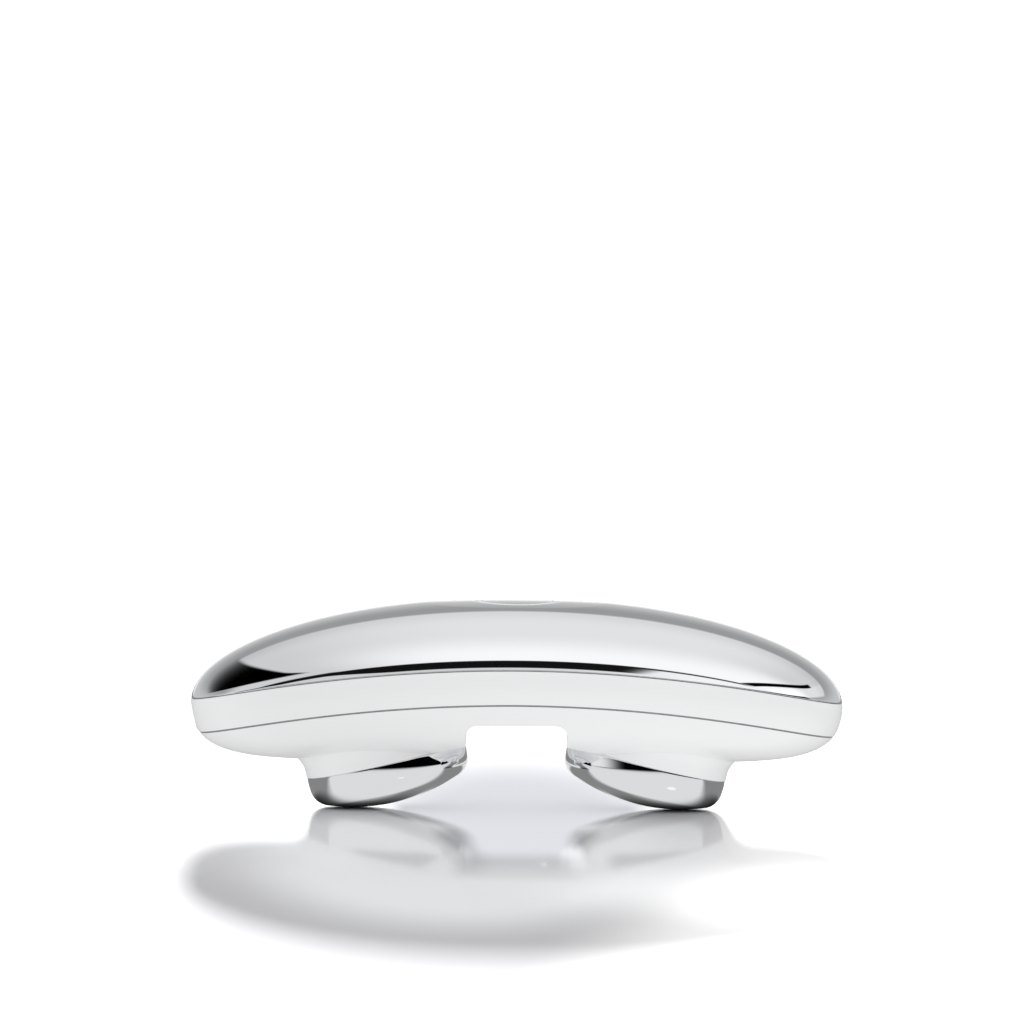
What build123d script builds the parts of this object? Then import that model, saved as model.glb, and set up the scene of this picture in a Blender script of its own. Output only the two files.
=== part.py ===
"""Palm-held facial toning device: an arched pebble that rests on two domed electrodes.

The body is one smooth pebble bent along a shallow arch and cut by two arched parting surfaces into
a plated cover, a white band and a white lower housing. Two tilted pods under the housing carry the
electrodes, with a rounded gap between them. Inside, a chassis holds the battery and the main board,
a button on top of the cover presses a switch on the board, and a charging port sits in the band's
left end.

Frame: the origin is on the table under the middle of the device. +X runs along the length, +Y to
the back and +Z up. All sizes are in millimetres.
"""

import math
import os

from build123d import *

# ---------------------------------------------------------------- driving dimensions
# Body: superellipse outline along an arch, rounded section across it
body_half_arc = 62.6        # from the middle to each tip, along the arch
body_width = 55.0
arch_radius = 265.0         # bend of the body and of both parting surfaces
middle_height = 24.7        # middle line of the band over the table, at the centre
crown_height = 15.4         # top of the pebble over the middle line
keel_depth = 14.5           # bottom of the pebble under the middle line
outline_power = 2.6         # 2 is an ellipse, more is blunter
section_fullness = 0.60     # 0.55 is an elliptic section, more is squarer
body_stations = 14          # sections of the loft, from tip to tip
shell_wall = 1.7
band_height = 6.5

# Seams: a gasket lies in each and is set back from the surface
cover_seam = 0.16
housing_seam = 0.34
gasket_setback = 0.35
gasket_clearance = 0.02

# Pods and electrodes
electrode_spacing = 50.0    # between the centres of the two seats
electrode_tilt = 13.6       # each axis leans inward by this many degrees
electrode_radius = 15.4
electrode_depth = 8.4       # seat to the top of the dome
electrode_crown_radius = 36.0
electrode_edge_radius = 3.6
pod_lip = 0.15              # pod stands this much outside the electrode
pod_wall_height = 1.2       # straight part of the pod over the seat
pod_flare_radius = 4.8      # hollow curve from the pod into the body
pod_flare_turn = 62.0       # degrees of that curve, so that it meets the body at a clear angle
pod_top = 8.0               # pod's core runs this far up into the body
seat_thickness = 3.2
spigot_radius = 10.6
spigot_height = 1.2
seal_ring_radius = 12.6
seal_thickness = 0.9
stud_radius = 2.0
stud_length = 8.4
washer_radius = 4.4
washer_thickness = 0.5
nut_flats = 7.0
nut_height = 3.2
fit_clearance = 0.08

# Gap between the pods
gap_width = 19.3
gap_top = 17.4
gap_corner_radius = 2.3

# Thumb pad and button
pad_depth = 0.3             # flattening of the dome at its middle
pad_long_radius = 364.0
pad_cross_radius = 79.0
pad_reach = 21.0
button_radius = 6.8
button_gap = 0.15
button_travel = 0.4
button_wall = 1.1
button_skirt_bottom = 35.3
button_ceiling = 38.0
button_stem_radius = 1.7
lug_height = 1.0
lug_width = 3.2
lug_length = 1.6            # lugs stand this far out from the skirt
lug_count = 3
ring_width = 1.1
ring_flange_width = 1.5
ring_bottom = 36.4
ring_clearance = 0.05
stem_clearance = 0.1

# Inner frame, board and battery
boss_x = 43.0
boss_y = 11.5
boss_radius = 2.7
boss_core_radius = 0.85
boss_bottom = 11.2
lug_plate_bottom = 21.5     # band's screw lugs
lug_plate_thickness = 1.6
stack_clearance = 0.05
chassis_bottom = 25.2
chassis_thickness = 1.6
chassis_length = 94.0
chassis_width = 30.0
chassis_corner = 5.0
rib_thickness = 0.9
rib_height = 2.2
rib_gap = 0.2
window_inner_x = 24.5
window_outer_x = 36.0
window_half_width = 5.5
ribbon_slot_depth = 6.5
ribbon_slot_width = 8.5
board_bottom = 28.6
board_thickness = 1.2
board_length = 76.0
board_width = 30.0
board_corner = 8.0
board_screw_x = 31.0
board_screw_y = 10.5
standoff_radius = 2.2
battery_length = 45.0
battery_width = 27.0
battery_thickness = 5.0
battery_corner = 2.5
battery_edge = 1.2
pad_thickness = 0.6
screw_shank_radius = 0.95
screw_head_radius = 1.9
screw_head_height = 1.3
screw_length = 8.0
small_screw_shank_radius = 0.75
small_screw_head_radius = 1.4
small_screw_head_height = 0.9
small_screw_length = 3.6
head_bevel = 0.4            # shares of the head's height and radius
recess_length = 1.1
recess_width = 0.3
recess_depth = 0.5

# Light shroud and switch on the board
shroud_wall = 0.8
post_inset = 0.2            # post lies this far inside the button's skirt
post_wall = 1.5
post_top = 34.3
shroud_base = 0.8
led_count = 4
led_length = 1.6
led_depth = 1.1
led_height = 0.65
led_window = 0.5
switch_side = 6.0
switch_height = 3.3
plunger_radius = 1.6
plunger_top = 34.0
plunger_length = 2.3
plunger_clearance = 0.06
plunger_room = 0.3          # free depth under the pressed plunger

# Charging port at the left end
port_height = 17.6          # middle of the socket over the table
port_mouth_inset = 1.2      # mouth plane, in from half the arc
port_width = 8.94
port_depth_z = 3.26
port_length = 7.35
port_shell_wall = 0.3
port_tongue_width = 6.7
port_tongue_thickness = 0.7
port_tongue_length = 4.6
port_gasket_wall = 0.62
port_gasket_length = 1.9
port_board_thickness = 1.0
port_board_length = 12.0
port_board_width = 10.6
port_board_gap = 0.7        # between the body's wall and the port's board
port_recess = 0.15          # shell's mouth lies this far inside the mouth plane
port_gasket_recess = 0.35
port_back_wall = 1.2
port_cut_length = 8.0
port_post_inset = 7.6       # from the left edge of the port's board
port_post_y = 3.6
port_post_radius = 1.5
port_post_depth = 6.0       # foot of the posts under the middle of the socket

# Small parts on and around the board
controller_x = -21.5
controller_length = 13.0
controller_width = 16.0
controller_base = 0.8
shield_shift = 0.9          # the shield leaves the antenna's end of the base free
shield_length = 10.0
shield_width = 14.4
shield_height = 1.5
charge_chip_place = (20.5, 9.2)
charge_chip_side = 4.0
charge_chip_height = 0.9
capacitor_place = (19.0, -9.5)
capacitor_pitch = 4.5
capacitor_count = 3
capacitor_radius = 1.6
capacitor_height = 3.4
transformer_x = 33.5
transformer_length = 6.6
transformer_width = 7.6
transformer_corner = 0.6
transformer_flange = 0.9
winding_radius = 2.9
winding_height = 2.0
socket_gap = 3.0            # from the light shroud
socket_length = 5.5
socket_width = 7.5
socket_height = 3.0
plug_length = 3.2
plug_width = 6.4
plug_height = 2.5
peg_radius = 0.6
peg_inset = 0.9
small_bevel = 0.3
wire_diameter = 1.2
wire_spacing = 3.0
wire_bend_x = 27.0
lead_slot_room = 0.8        # free space round the leads in the board
strip_thickness = 0.3
strip_width = 4.0
ribbon_thickness = 0.2
ribbon_width = 6.0
motor_x = 42.4
motor_radius = 3.9
motor_height = 2.7
motor_pad_thickness = 0.2
ribbon_start = 10.0         # from the left edge of the port's board
ribbon_rise_inset = 4.4     # from the end of the chassis
ribbon_slope_run = 2.4
ribbon_end_inset = 2.8      # from the end of the main board
ribbon_slope_rise = 6.5
ribbon_socket_length = 3.0
ribbon_socket_height = 1.2

# ---------------------------------------------------------------- worked-out sizes
half_band = band_height / 2
board_top = board_bottom + board_thickness
chassis_top = chassis_bottom + chassis_thickness
tilt = math.radians(electrode_tilt)
dome_centre_height = electrode_crown_radius - electrode_depth
seat_height = electrode_crown_radius - dome_centre_height * math.cos(tilt)
pod_radius = electrode_radius + pod_lip
ring_inner_radius = button_radius + button_gap
ring_outer_radius = ring_inner_radius + ring_width
cover_hole_radius = ring_outer_radius + ring_clearance
lug_reach = button_radius + lug_length
post_outer_radius = button_radius - post_inset
post_inner_radius = post_outer_radius - post_wall
shroud_outer_radius = ring_outer_radius + ring_flange_width - ring_clearance
led_circle_radius = (post_outer_radius + shroud_outer_radius - shroud_wall) / 2
port_mouth_x = port_mouth_inset - body_half_arc
port_board_left = port_mouth_x + shell_wall + port_board_gap
port_post_x = port_board_left + port_post_inset
port_post_bottom = port_height - port_post_depth
ribbon_left = port_board_left + ribbon_start
ribbon_rise_x = ribbon_rise_inset - chassis_length / 2
ribbon_slope_x = ribbon_rise_x - ribbon_slope_run
ribbon_right = ribbon_end_inset - board_length / 2
slab_reach = 40.0           # arched cutters reach this far past the body

os.makedirs("parts", exist_ok=True)


def finish(builder, name):
    """Label a finished piece and write it to its file."""
    builder.part.label = name
    export_step(builder.part, f"parts/{name}.step")


# ---------------------------------------------------------------- body blanks
def arch_plane(travel):
    """Plane across the arch at a distance along it from the middle, seen from the tip."""
    angle = travel / arch_radius
    drop = arch_radius * (1 - math.cos(angle))
    return Plane(
        origin=(arch_radius * math.sin(angle), 0, middle_height - drop),
        x_dir=(0, 1, 0),
        z_dir=(math.cos(angle), 0, -math.sin(angle)),
    )


def pebble(inset):
    """The closed pebble, or one that lies a wall's thickness inside it."""
    half_arc = body_half_arc - inset
    sections = []
    for station in range(1, body_stations):
        turn = math.pi * (station / body_stations - 0.5)
        along = math.copysign(abs(math.sin(turn)) ** (2 / outline_power), turn)
        scale = math.cos(turn) ** (2 / outline_power)
        wide = (body_width / 2 - inset) * scale
        up = (crown_height - inset) * scale
        down = (keel_depth - inset) * scale
        full = section_fullness
        with BuildSketch(arch_plane(half_arc * along)) as section:
            with BuildLine():
                Bezier((wide, 0), (wide, full * up), (full * wide, up), (0, up))
                Bezier((0, up), (-full * wide, up), (-wide, full * up), (-wide, 0))
                Bezier((-wide, 0), (-wide, -full * down), (-full * wide, -down), (0, -down))
                Bezier((0, -down), (full * wide, -down), (wide, -full * down), (wide, 0))
            make_face()
        sections.append(section.sketch.face())
    left_tip = Vertex(*arch_plane(-half_arc).origin)
    right_tip = Vertex(*arch_plane(half_arc).origin)
    with BuildPart() as body:
        loft(sections=[left_tip, *sections, right_tip])
    return body.part


def arch_slab(low, high):
    """Everything between two heights over the arched middle surface."""
    with BuildPart() as slab:
        with BuildSketch(Plane.XZ.offset(-body_width)):
            with Locations((0, middle_height - arch_radius)):
                Circle(arch_radius + high)
                Circle(arch_radius + low, mode=Mode.SUBTRACT)
            with Locations((0, middle_height)):
                Rectangle(2.4 * body_half_arc, 2 * slab_reach, mode=Mode.INTERSECT)
        extrude(amount=2 * body_width)
    return slab.part


outer_body = pebble(0)
inner_body = pebble(shell_wall)
setback_body = pebble(gasket_setback)
ring_seat_body = pebble(shell_wall + ring_clearance)
upper_slab = arch_slab(half_band + cover_seam, slab_reach)
band_slab = arch_slab(-half_band + housing_seam / 2, half_band)
lower_slab = arch_slab(-slab_reach, -half_band - housing_seam / 2)
cover_gasket_slab = arch_slab(
    half_band + gasket_clearance, half_band + cover_seam - gasket_clearance
)
housing_gasket_slab = arch_slab(
    -half_band - housing_seam / 2 + gasket_clearance,
    -half_band + housing_seam / 2 - gasket_clearance,
)

with BuildPart() as shell_blank:
    add(outer_body)
    add(inner_body, mode=Mode.SUBTRACT)

with BuildPart() as gasket_blank:
    add(setback_body)
    add(inner_body, mode=Mode.SUBTRACT)

# The dome is a little flatter over a round thumb pad: the part of the dome above this
# barrel-shaped surface is taken off.
pad_axis_height = middle_height + crown_height - pad_depth - pad_long_radius
with BuildPart() as pad_barrel:
    with BuildSketch(Plane.YZ) as barrel_section:
        with Locations((0, middle_height + crown_height - pad_depth - pad_cross_radius)):
            Circle(pad_cross_radius)
        with Locations((0, middle_height + crown_height)):
            Rectangle(2.2 * pad_reach, 2 * crown_height, mode=Mode.INTERSECT)
    revolve(
        axis=Axis((0, 0, pad_axis_height), (0, 1, 0)),
        revolution_arc=4,
    )
    mirror(about=Plane.YZ)

with BuildPart() as pad_cutter:
    with BuildSketch(Plane.XY.offset(middle_height + crown_height / 2)):
        Circle(pad_reach)
    extrude(amount=crown_height)
    add(pad_barrel.part, mode=Mode.SUBTRACT)

# ---------------------------------------------------------------- outer shells
with BuildPart() as top_cover:
    add(shell_blank.part)
    add(upper_slab, mode=Mode.INTERSECT)
    add(pad_cutter.part, mode=Mode.SUBTRACT)
    with BuildSketch(Plane.XY.offset(middle_height)):
        Circle(cover_hole_radius)
    extrude(amount=crown_height + slab_reach, mode=Mode.SUBTRACT)
finish(top_cover, "top_cover")

boss_places = [(end * boss_x, side * boss_y) for end in (-1, 1) for side in (-1, 1)]

# Screw lugs that stand in from the band's wall: they end inside the wall, short of its outer face
with BuildPart() as band_lugs:
    with BuildSketch(Plane.XY.offset(lug_plate_bottom)):
        with Locations(*boss_places):
            Circle(boss_radius)
        for end in (-1, 1):
            for side in (-1, 1):
                with Locations((end * boss_x, side * (boss_y + body_width / 4))):
                    Rectangle(2 * boss_radius, body_width / 2)
        with Locations(*boss_places):
            Circle(screw_shank_radius + fit_clearance, mode=Mode.SUBTRACT)
    extrude(amount=lug_plate_thickness)
    add(setback_body, mode=Mode.INTERSECT)

port_mouth = Plane(origin=(port_mouth_x, 0, port_height), x_dir=(0, 1, 0), z_dir=(1, 0, 0))
port_opening_wall = port_gasket_wall + gasket_clearance
with BuildPart() as mid_band:
    add(shell_blank.part)
    add(band_slab, mode=Mode.INTERSECT)
    add(band_lugs.part)
    # opening for the charging socket and its rubber sleeve
    with BuildSketch(port_mouth.offset(-port_cut_length / 2)):
        SlotOverall(
            port_width + 2 * port_opening_wall,
            port_depth_z + 2 * port_opening_wall,
        )
    extrude(amount=port_cut_length, mode=Mode.SUBTRACT)
finish(mid_band, "mid_band")

with BuildPart() as cover_gasket:
    add(gasket_blank.part)
    add(cover_gasket_slab, mode=Mode.INTERSECT)
finish(cover_gasket, "cover_gasket")

with BuildPart() as housing_gasket:
    add(gasket_blank.part)
    add(housing_gasket_slab, mode=Mode.INTERSECT)
finish(housing_gasket, "housing_gasket")


# ---------------------------------------------------------------- lower housing
def seat_plane(side):
    """Plane of an electrode seat: its normal leans outward and up, and side is -1 or +1."""
    return Plane(
        origin=(side * electrode_spacing / 2, 0, seat_height),
        x_dir=(math.cos(tilt), 0, -side * math.sin(tilt)),
        z_dir=(side * math.sin(tilt), 0, math.cos(tilt)),
    )


seats = {"left": seat_plane(-1), "right": seat_plane(1)}

# Pod: a round column that flares in a hollow curve into the underside of the body
flare_turn = math.radians(pod_flare_turn)
flare_end = pod_radius + pod_flare_radius * (1 - math.cos(flare_turn))
flare_top = pod_wall_height + pod_flare_radius * math.sin(flare_turn)
pods = []
for plane in seats.values():
    section_plane = Plane(origin=plane.origin, x_dir=plane.x_dir, z_dir=-plane.y_dir)
    with BuildPart() as pod:
        with BuildSketch(section_plane):
            with BuildLine():
                Line((0, 0), (pod_radius, 0))
                Line((pod_radius, 0), (pod_radius, pod_wall_height))
                RadiusArc(
                    (pod_radius, pod_wall_height),
                    (flare_end, flare_top),
                    pod_flare_radius,
                )
                Line((flare_end, flare_top), (flare_end, pod_top))
                Line((flare_end, pod_top), (0, pod_top))
                Line((0, pod_top), (0, 0))
            make_face()
        revolve(axis=Axis(plane.origin, plane.z_dir))
    pods.append(pod.part)

# Gap between the pods, and the same gap a wall's thickness larger
def gap_block(growth):
    """A long block across the device with rounded top corners."""
    width = gap_width + 2 * growth
    top = gap_top + growth
    with BuildPart() as block:
        with BuildSketch(Plane.XZ.offset(-body_width)):
            with Locations((0, top / 2)):
                Rectangle(width, top)
        extrude(amount=2 * body_width)
        corners = block.edges().filter_by(Axis.Y).group_by(Axis.Z)[-1]
        fillet(corners, gap_corner_radius + growth)
    return block.part


gap_cutter = gap_block(0)
gap_floor = gap_block(shell_wall)

def below_seats(height):
    """Everything under both seat planes, raised by a height: each side stops at the middle."""
    inner = electrode_spacing / 2
    outer = body_half_arc
    with BuildPart() as wedges:
        for side, plane in zip((-1, 1), seats.values()):
            with BuildSketch(plane.offset(height)):
                with Locations((side * (outer - inner) / 2, 0)):
                    Rectangle(outer + inner, 2 * body_width)
            extrude(amount=-slab_reach)
    return wedges.part


under_seats = below_seats(0)
under_seat_tops = below_seats(seat_thickness)

# Everything that is taken off under the housing in one piece
with BuildPart() as underside_cutter:
    add(under_seats)
    add(gap_cutter)

boss_top = lug_plate_bottom - stack_clearance
port_board_top = port_height - port_depth_z / 2 - stack_clearance
port_post_top = port_board_top - port_board_thickness - stack_clearance
post_places = [(port_post_x, port_post_y), (port_post_x, -port_post_y)]
with BuildPart() as housing_posts:
    with BuildSketch(Plane.XY.offset(boss_bottom)):
        with Locations(*boss_places):
            Circle(boss_radius)
    extrude(amount=boss_top - boss_bottom)
    with BuildSketch(Plane.XY.offset(boss_top)):
        with Locations(*boss_places):
            Circle(boss_core_radius)
    extrude(amount=-screw_length, mode=Mode.SUBTRACT)
    with BuildSketch(Plane.XY.offset(port_post_bottom)):
        with Locations(*post_places):
            Circle(port_post_radius)
    extrude(amount=port_post_top - port_post_bottom)
    with BuildSketch(Plane.XY.offset(port_post_top)):
        with Locations(*post_places):
            Circle(small_screw_shank_radius)
    extrude(amount=-small_screw_length, mode=Mode.SUBTRACT)

with BuildPart() as pod_cores:
    for plane in seats.values():
        with BuildSketch(plane.offset(seat_thickness)):
            Circle(pod_radius - shell_wall)
        extrude(amount=pod_top)

with BuildPart() as housing_cavity:
    add(inner_body)
    add(pod_cores.part, clean=False)
    add(under_seat_tops, mode=Mode.SUBTRACT, clean=False)
    add(gap_floor, mode=Mode.SUBTRACT, clean=False)
    add(housing_posts.part, mode=Mode.SUBTRACT, clean=False)

with BuildPart() as seat_holes:
    for plane in seats.values():
        with BuildSketch(plane.offset(-1)):
            Circle(spigot_radius + fit_clearance)
        extrude(amount=1 + spigot_height + fit_clearance)
        with BuildSketch(plane):
            Circle(stud_radius + fit_clearance)
        extrude(amount=seat_thickness + 1)

with BuildPart() as bottom_housing:
    add(outer_body)
    add(lower_slab, mode=Mode.INTERSECT, clean=False)
    for pod_solid in pods:
        add(pod_solid, clean=False)
    add(underside_cutter.part, mode=Mode.SUBTRACT, clean=False)
    add(seat_holes.part, mode=Mode.SUBTRACT, clean=False)
    add(housing_cavity.part, mode=Mode.SUBTRACT, clean=False)
finish(bottom_housing, "bottom_housing")

# ---------------------------------------------------------------- electrodes
# The rounded rim touches the straight side and the crown: its middle is found from both radii
rim_middle = electrode_radius - electrode_edge_radius
rim_reach = electrode_crown_radius - electrode_edge_radius
rim_height = dome_centre_height - math.sqrt(rim_reach**2 - rim_middle**2)
crown_edge = rim_middle * electrode_crown_radius / rim_reach
crown_edge_height = dome_centre_height - math.sqrt(electrode_crown_radius**2 - crown_edge**2)
seal_groove_depth = seal_thickness - 2 * gasket_clearance
washer_bottom = seat_thickness + gasket_clearance
nut_bottom = washer_bottom + washer_thickness + gasket_clearance
for name, plane in seats.items():
    section_plane = Plane(origin=plane.origin, x_dir=plane.x_dir, z_dir=-plane.y_dir)
    with BuildPart() as electrode:
        with BuildSketch(section_plane) as profile:
            with BuildLine():
                Line((0, -gasket_clearance), (electrode_radius, -gasket_clearance))
                Line((electrode_radius, -gasket_clearance), (electrode_radius, rim_height))
                RadiusArc(
                    (electrode_radius, rim_height),
                    (crown_edge, crown_edge_height),
                    electrode_edge_radius,
                )
                RadiusArc(
                    (crown_edge, crown_edge_height), (0, -electrode_depth), electrode_crown_radius
                )
                Line((0, -electrode_depth), (0, -gasket_clearance))
            make_face()
        revolve(axis=Axis(plane.origin, plane.z_dir))
        # spigot that centres the electrode in its seat, and the stud that clamps it
        with BuildSketch(plane.offset(-gasket_clearance)):
            Circle(spigot_radius)
        extrude(amount=spigot_height)
        with BuildSketch(plane.offset(-gasket_clearance)):
            Circle(stud_radius)
        extrude(amount=stud_length)
        chamfer(electrode.faces().sort_by(Axis(plane.origin, plane.z_dir))[-1].edges(), 0.3)
        with BuildSketch(plane.offset(-gasket_clearance)):
            Circle(seal_ring_radius + seal_thickness / 2)
            Circle(seal_ring_radius - seal_thickness / 2, mode=Mode.SUBTRACT)
        extrude(amount=-seal_groove_depth, mode=Mode.SUBTRACT)
    finish(electrode, f"electrode_{name}")

with BuildPart() as electrode_seals:
    for plane in seats.values():
        with BuildSketch(plane.offset(-gasket_clearance)):
            Circle(seal_ring_radius + seal_thickness / 2 - gasket_clearance)
            Circle(seal_ring_radius - seal_thickness / 2 + gasket_clearance, mode=Mode.SUBTRACT)
        extrude(amount=-(seal_groove_depth - gasket_clearance))
finish(electrode_seals, "electrode_seals")

with BuildPart() as electrode_washers:
    for plane in seats.values():
        with BuildSketch(plane.offset(washer_bottom)):
            Circle(washer_radius)
            Circle(stud_radius + fit_clearance, mode=Mode.SUBTRACT)
        extrude(amount=washer_thickness)
finish(electrode_washers, "electrode_washers")

with BuildPart() as electrode_nuts:
    for plane in seats.values():
        with BuildSketch(plane.offset(nut_bottom)):
            RegularPolygon(nut_flats / 2, 6, major_radius=False)
            Circle(stud_radius + fit_clearance, mode=Mode.SUBTRACT)
        extrude(amount=nut_height)
finish(electrode_nuts, "electrode_nuts")

# Spring strips: soldered under the board, each comes down through the chassis window and
# presses flat on the end of its stud.
strip_foot_height = board_bottom - stack_clearance - strip_thickness / 2
strip_lift = stud_length + strip_thickness / 2
strip_knee_height = chassis_bottom - pad_thickness - battery_thickness
for side, name in ((-1, "left"), (1, "right")):
    plane = seats[name]
    landing = plane.from_local_coords((side * strip_width * 0.7, 0, strip_lift))
    tip = plane.from_local_coords((-side * strip_width * 0.5, 0, strip_lift))
    drop_x = side * (window_outer_x - strip_width)
    with BuildPart() as contact_spring:
        with BuildLine(Plane.XZ):
            FilletPolyline(
                (side * window_outer_x + side * strip_thickness, strip_foot_height),
                (drop_x, strip_foot_height),
                (drop_x, strip_knee_height),
                (landing.X, landing.Z),
                (tip.X, tip.Z),
                radius=1.0,
            )
        with BuildSketch(Plane.YZ.offset(side * (window_outer_x + strip_thickness))):
            with Locations((0, strip_foot_height)):
                Rectangle(strip_width, strip_thickness)
        sweep()
    finish(contact_spring, f"contact_spring_{name}")

# ---------------------------------------------------------------- chassis and its screws
board_screw_places = [
    (end * board_screw_x, side * board_screw_y) for end in (-1, 1) for side in (-1, 1)
]
windows = [
    (side * (window_inner_x + window_outer_x) / 2, 0) for side in (-1, 1)
]
with BuildPart() as chassis:
    with BuildSketch(Plane.XY.offset(chassis_bottom)):
        RectangleRounded(chassis_length, chassis_width, chassis_corner)
        with Locations(*windows):
            RectangleRounded(
                window_outer_x - window_inner_x, 2 * window_half_width, 1.0, mode=Mode.SUBTRACT
            )
        with Locations((-chassis_length / 2, 0)):
            Rectangle(2 * ribbon_slot_depth, ribbon_slot_width, mode=Mode.SUBTRACT)
    extrude(amount=chassis_thickness)
    # edge ribs keep the plate stiff over the battery
    with BuildSketch(Plane.XY.offset(chassis_bottom)):
        for side in (-1, 1):
            with Locations((0, side * (battery_width + rib_thickness + 2 * rib_gap) / 2)):
                Rectangle(battery_length, rib_thickness)
    extrude(amount=-rib_height)
    with BuildSketch(Plane.XY.offset(chassis_top)):
        with Locations(*board_screw_places):
            Circle(standoff_radius)
    extrude(amount=board_bottom - stack_clearance - chassis_top)
    with BuildSketch(Plane.XY.offset(board_bottom)):
        with Locations(*board_screw_places):
            Circle(small_screw_shank_radius)
    extrude(amount=chassis_bottom - board_bottom + 0.5, mode=Mode.SUBTRACT)
    post_bottom = lug_plate_bottom + lug_plate_thickness + stack_clearance
    with BuildSketch(Plane.XY.offset(post_bottom)):
        with Locations(*boss_places):
            Circle(boss_radius)
    extrude(amount=chassis_bottom - post_bottom)
    with BuildSketch(Plane.XY.offset(post_bottom)):
        with Locations(*boss_places):
            Circle(screw_shank_radius + fit_clearance)
    extrude(amount=chassis_top - post_bottom, mode=Mode.SUBTRACT)
finish(chassis, "chassis")


def screws(places, head_bottom, head_radius, head_height, shank_radius, length):
    """Pan-head screws with a cross recess, head up, one at each place."""
    with BuildPart() as group:
        with BuildSketch(Plane.XY.offset(head_bottom)):
            with Locations(*places):
                Circle(head_radius)
        extrude(amount=head_height)
        tops = group.faces().filter_by(Axis.Z).group_by(Axis.Z)[-1].edges()
        chamfer(tops, head_height * head_bevel)
        with BuildSketch(Plane.XY.offset(head_bottom)):
            with Locations(*places):
                Circle(shank_radius)
        extrude(amount=-length)
        with BuildSketch(Plane.XY.offset(head_bottom + head_height)):
            with Locations(*places):
                Rectangle(head_radius * recess_length, head_radius * recess_width)
                Rectangle(head_radius * recess_width, head_radius * recess_length)
        extrude(amount=-head_height * recess_depth, mode=Mode.SUBTRACT)
    return group


chassis_screws = screws(
    boss_places,
    chassis_top + stack_clearance,
    screw_head_radius,
    screw_head_height,
    boss_core_radius - stack_clearance,
    chassis_top - boss_top + screw_length - 1,
)
finish(chassis_screws, "chassis_screws")

board_screws = screws(
    board_screw_places,
    board_top + stack_clearance,
    small_screw_head_radius,
    small_screw_head_height,
    small_screw_shank_radius - stack_clearance,
    small_screw_length,
)
finish(board_screws, "board_screws")

# ---------------------------------------------------------------- battery
battery_top = chassis_bottom - pad_thickness
battery_bottom = battery_top - battery_thickness
with BuildPart() as battery_pad:
    with BuildSketch(Plane.XY.offset(chassis_bottom - pad_thickness + gasket_clearance)):
        RectangleRounded(
            battery_length - 2 * battery_corner, battery_width - 2 * battery_corner, 2
        )
    extrude(amount=pad_thickness - 2 * gasket_clearance)
finish(battery_pad, "battery_pad")

with BuildPart() as battery_cell:
    with BuildSketch(Plane.XY.offset(battery_bottom)):
        RectangleRounded(battery_length, battery_width, battery_corner)
    extrude(amount=battery_thickness)
    chamfer(battery_cell.edges().group_by(Axis.Z)[0], battery_edge)
    chamfer(battery_cell.edges().group_by(Axis.Z)[-1], battery_edge)
finish(battery_cell, "battery_cell")

socket_left = shroud_outer_radius + socket_gap
plug_left = socket_left + socket_length + gasket_clearance
plug_right = plug_left + plug_length
with BuildPart() as battery_socket:
    with BuildSketch(Plane.XY.offset(board_top + stack_clearance)):
        with Locations((socket_left + socket_length / 2, 0)):
            Rectangle(socket_length, socket_width)
    extrude(amount=socket_height)
    chamfer(battery_socket.edges().filter_by(Axis.Z), small_bevel)
finish(battery_socket, "battery_socket")

with BuildPart() as battery_plug:
    with BuildSketch(Plane.XY.offset(board_top + 2 * stack_clearance)):
        with Locations((plug_left + plug_length / 2, 0)):
            Rectangle(plug_length, plug_width)
    extrude(amount=plug_height)
    chamfer(battery_plug.edges().filter_by(Axis.Z), small_bevel)
finish(battery_plug, "battery_plug")

# Two leads: out of the battery's end, up through the window and back to the plug
lead_low = battery_bottom + battery_thickness / 2
lead_high = board_top + socket_height / 2
battery_end = battery_length / 2
low_bend = 0.45 * (wire_bend_x - battery_end)
high_bend = 0.45 * (wire_bend_x - plug_right)
with BuildPart() as battery_leads:
    for side in (-1, 1):
        lane = side * wire_spacing / 2
        with BuildLine() as route:
            FilletPolyline(
                (battery_end + gasket_clearance, lane, lead_low),
                (wire_bend_x, lane, lead_low),
                (wire_bend_x, lane, lead_high),
                (plug_right + gasket_clearance, lane, lead_high),
                radius=[low_bend, high_bend],
            )
        with BuildSketch(Plane(origin=route.line @ 0, z_dir=route.line % 0)):
            Circle(wire_diameter / 2)
        sweep(path=route.line)
finish(battery_leads, "battery_leads")

# ---------------------------------------------------------------- main board
lead_slot_x = wire_bend_x
peg_x = shroud_outer_radius - shroud_wall - peg_inset
with BuildPart() as main_board:
    with BuildSketch(Plane.XY.offset(board_bottom)):
        RectangleRounded(board_length, board_width, board_corner)
        with Locations(*board_screw_places):
            Circle(small_screw_shank_radius + fit_clearance, mode=Mode.SUBTRACT)
        with Locations((lead_slot_x, 0)):
            SlotOverall(
                wire_spacing + 2 * wire_diameter + lead_slot_room,
                wire_diameter + 2 * lead_slot_room,
                rotation=90,
                mode=Mode.SUBTRACT,
            )
        with Locations((peg_x, 0), (-peg_x, 0)):
            Circle(peg_radius + fit_clearance, mode=Mode.SUBTRACT)
    extrude(amount=board_thickness)
finish(main_board, "main_board")

with BuildPart() as controller_module:
    with BuildSketch(Plane.XY.offset(board_top + stack_clearance)):
        with Locations((controller_x, 0)):
            Rectangle(controller_length, controller_width)
    extrude(amount=controller_base)
    with BuildSketch(Plane.XY.offset(board_top + stack_clearance + controller_base)):
        with Locations((controller_x + shield_shift, 0)):
            Rectangle(shield_length, shield_width)
    extrude(amount=shield_height)
    chamfer(controller_module.edges().group_by(Axis.Z)[-1], small_bevel)
finish(controller_module, "controller_module")

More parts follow.
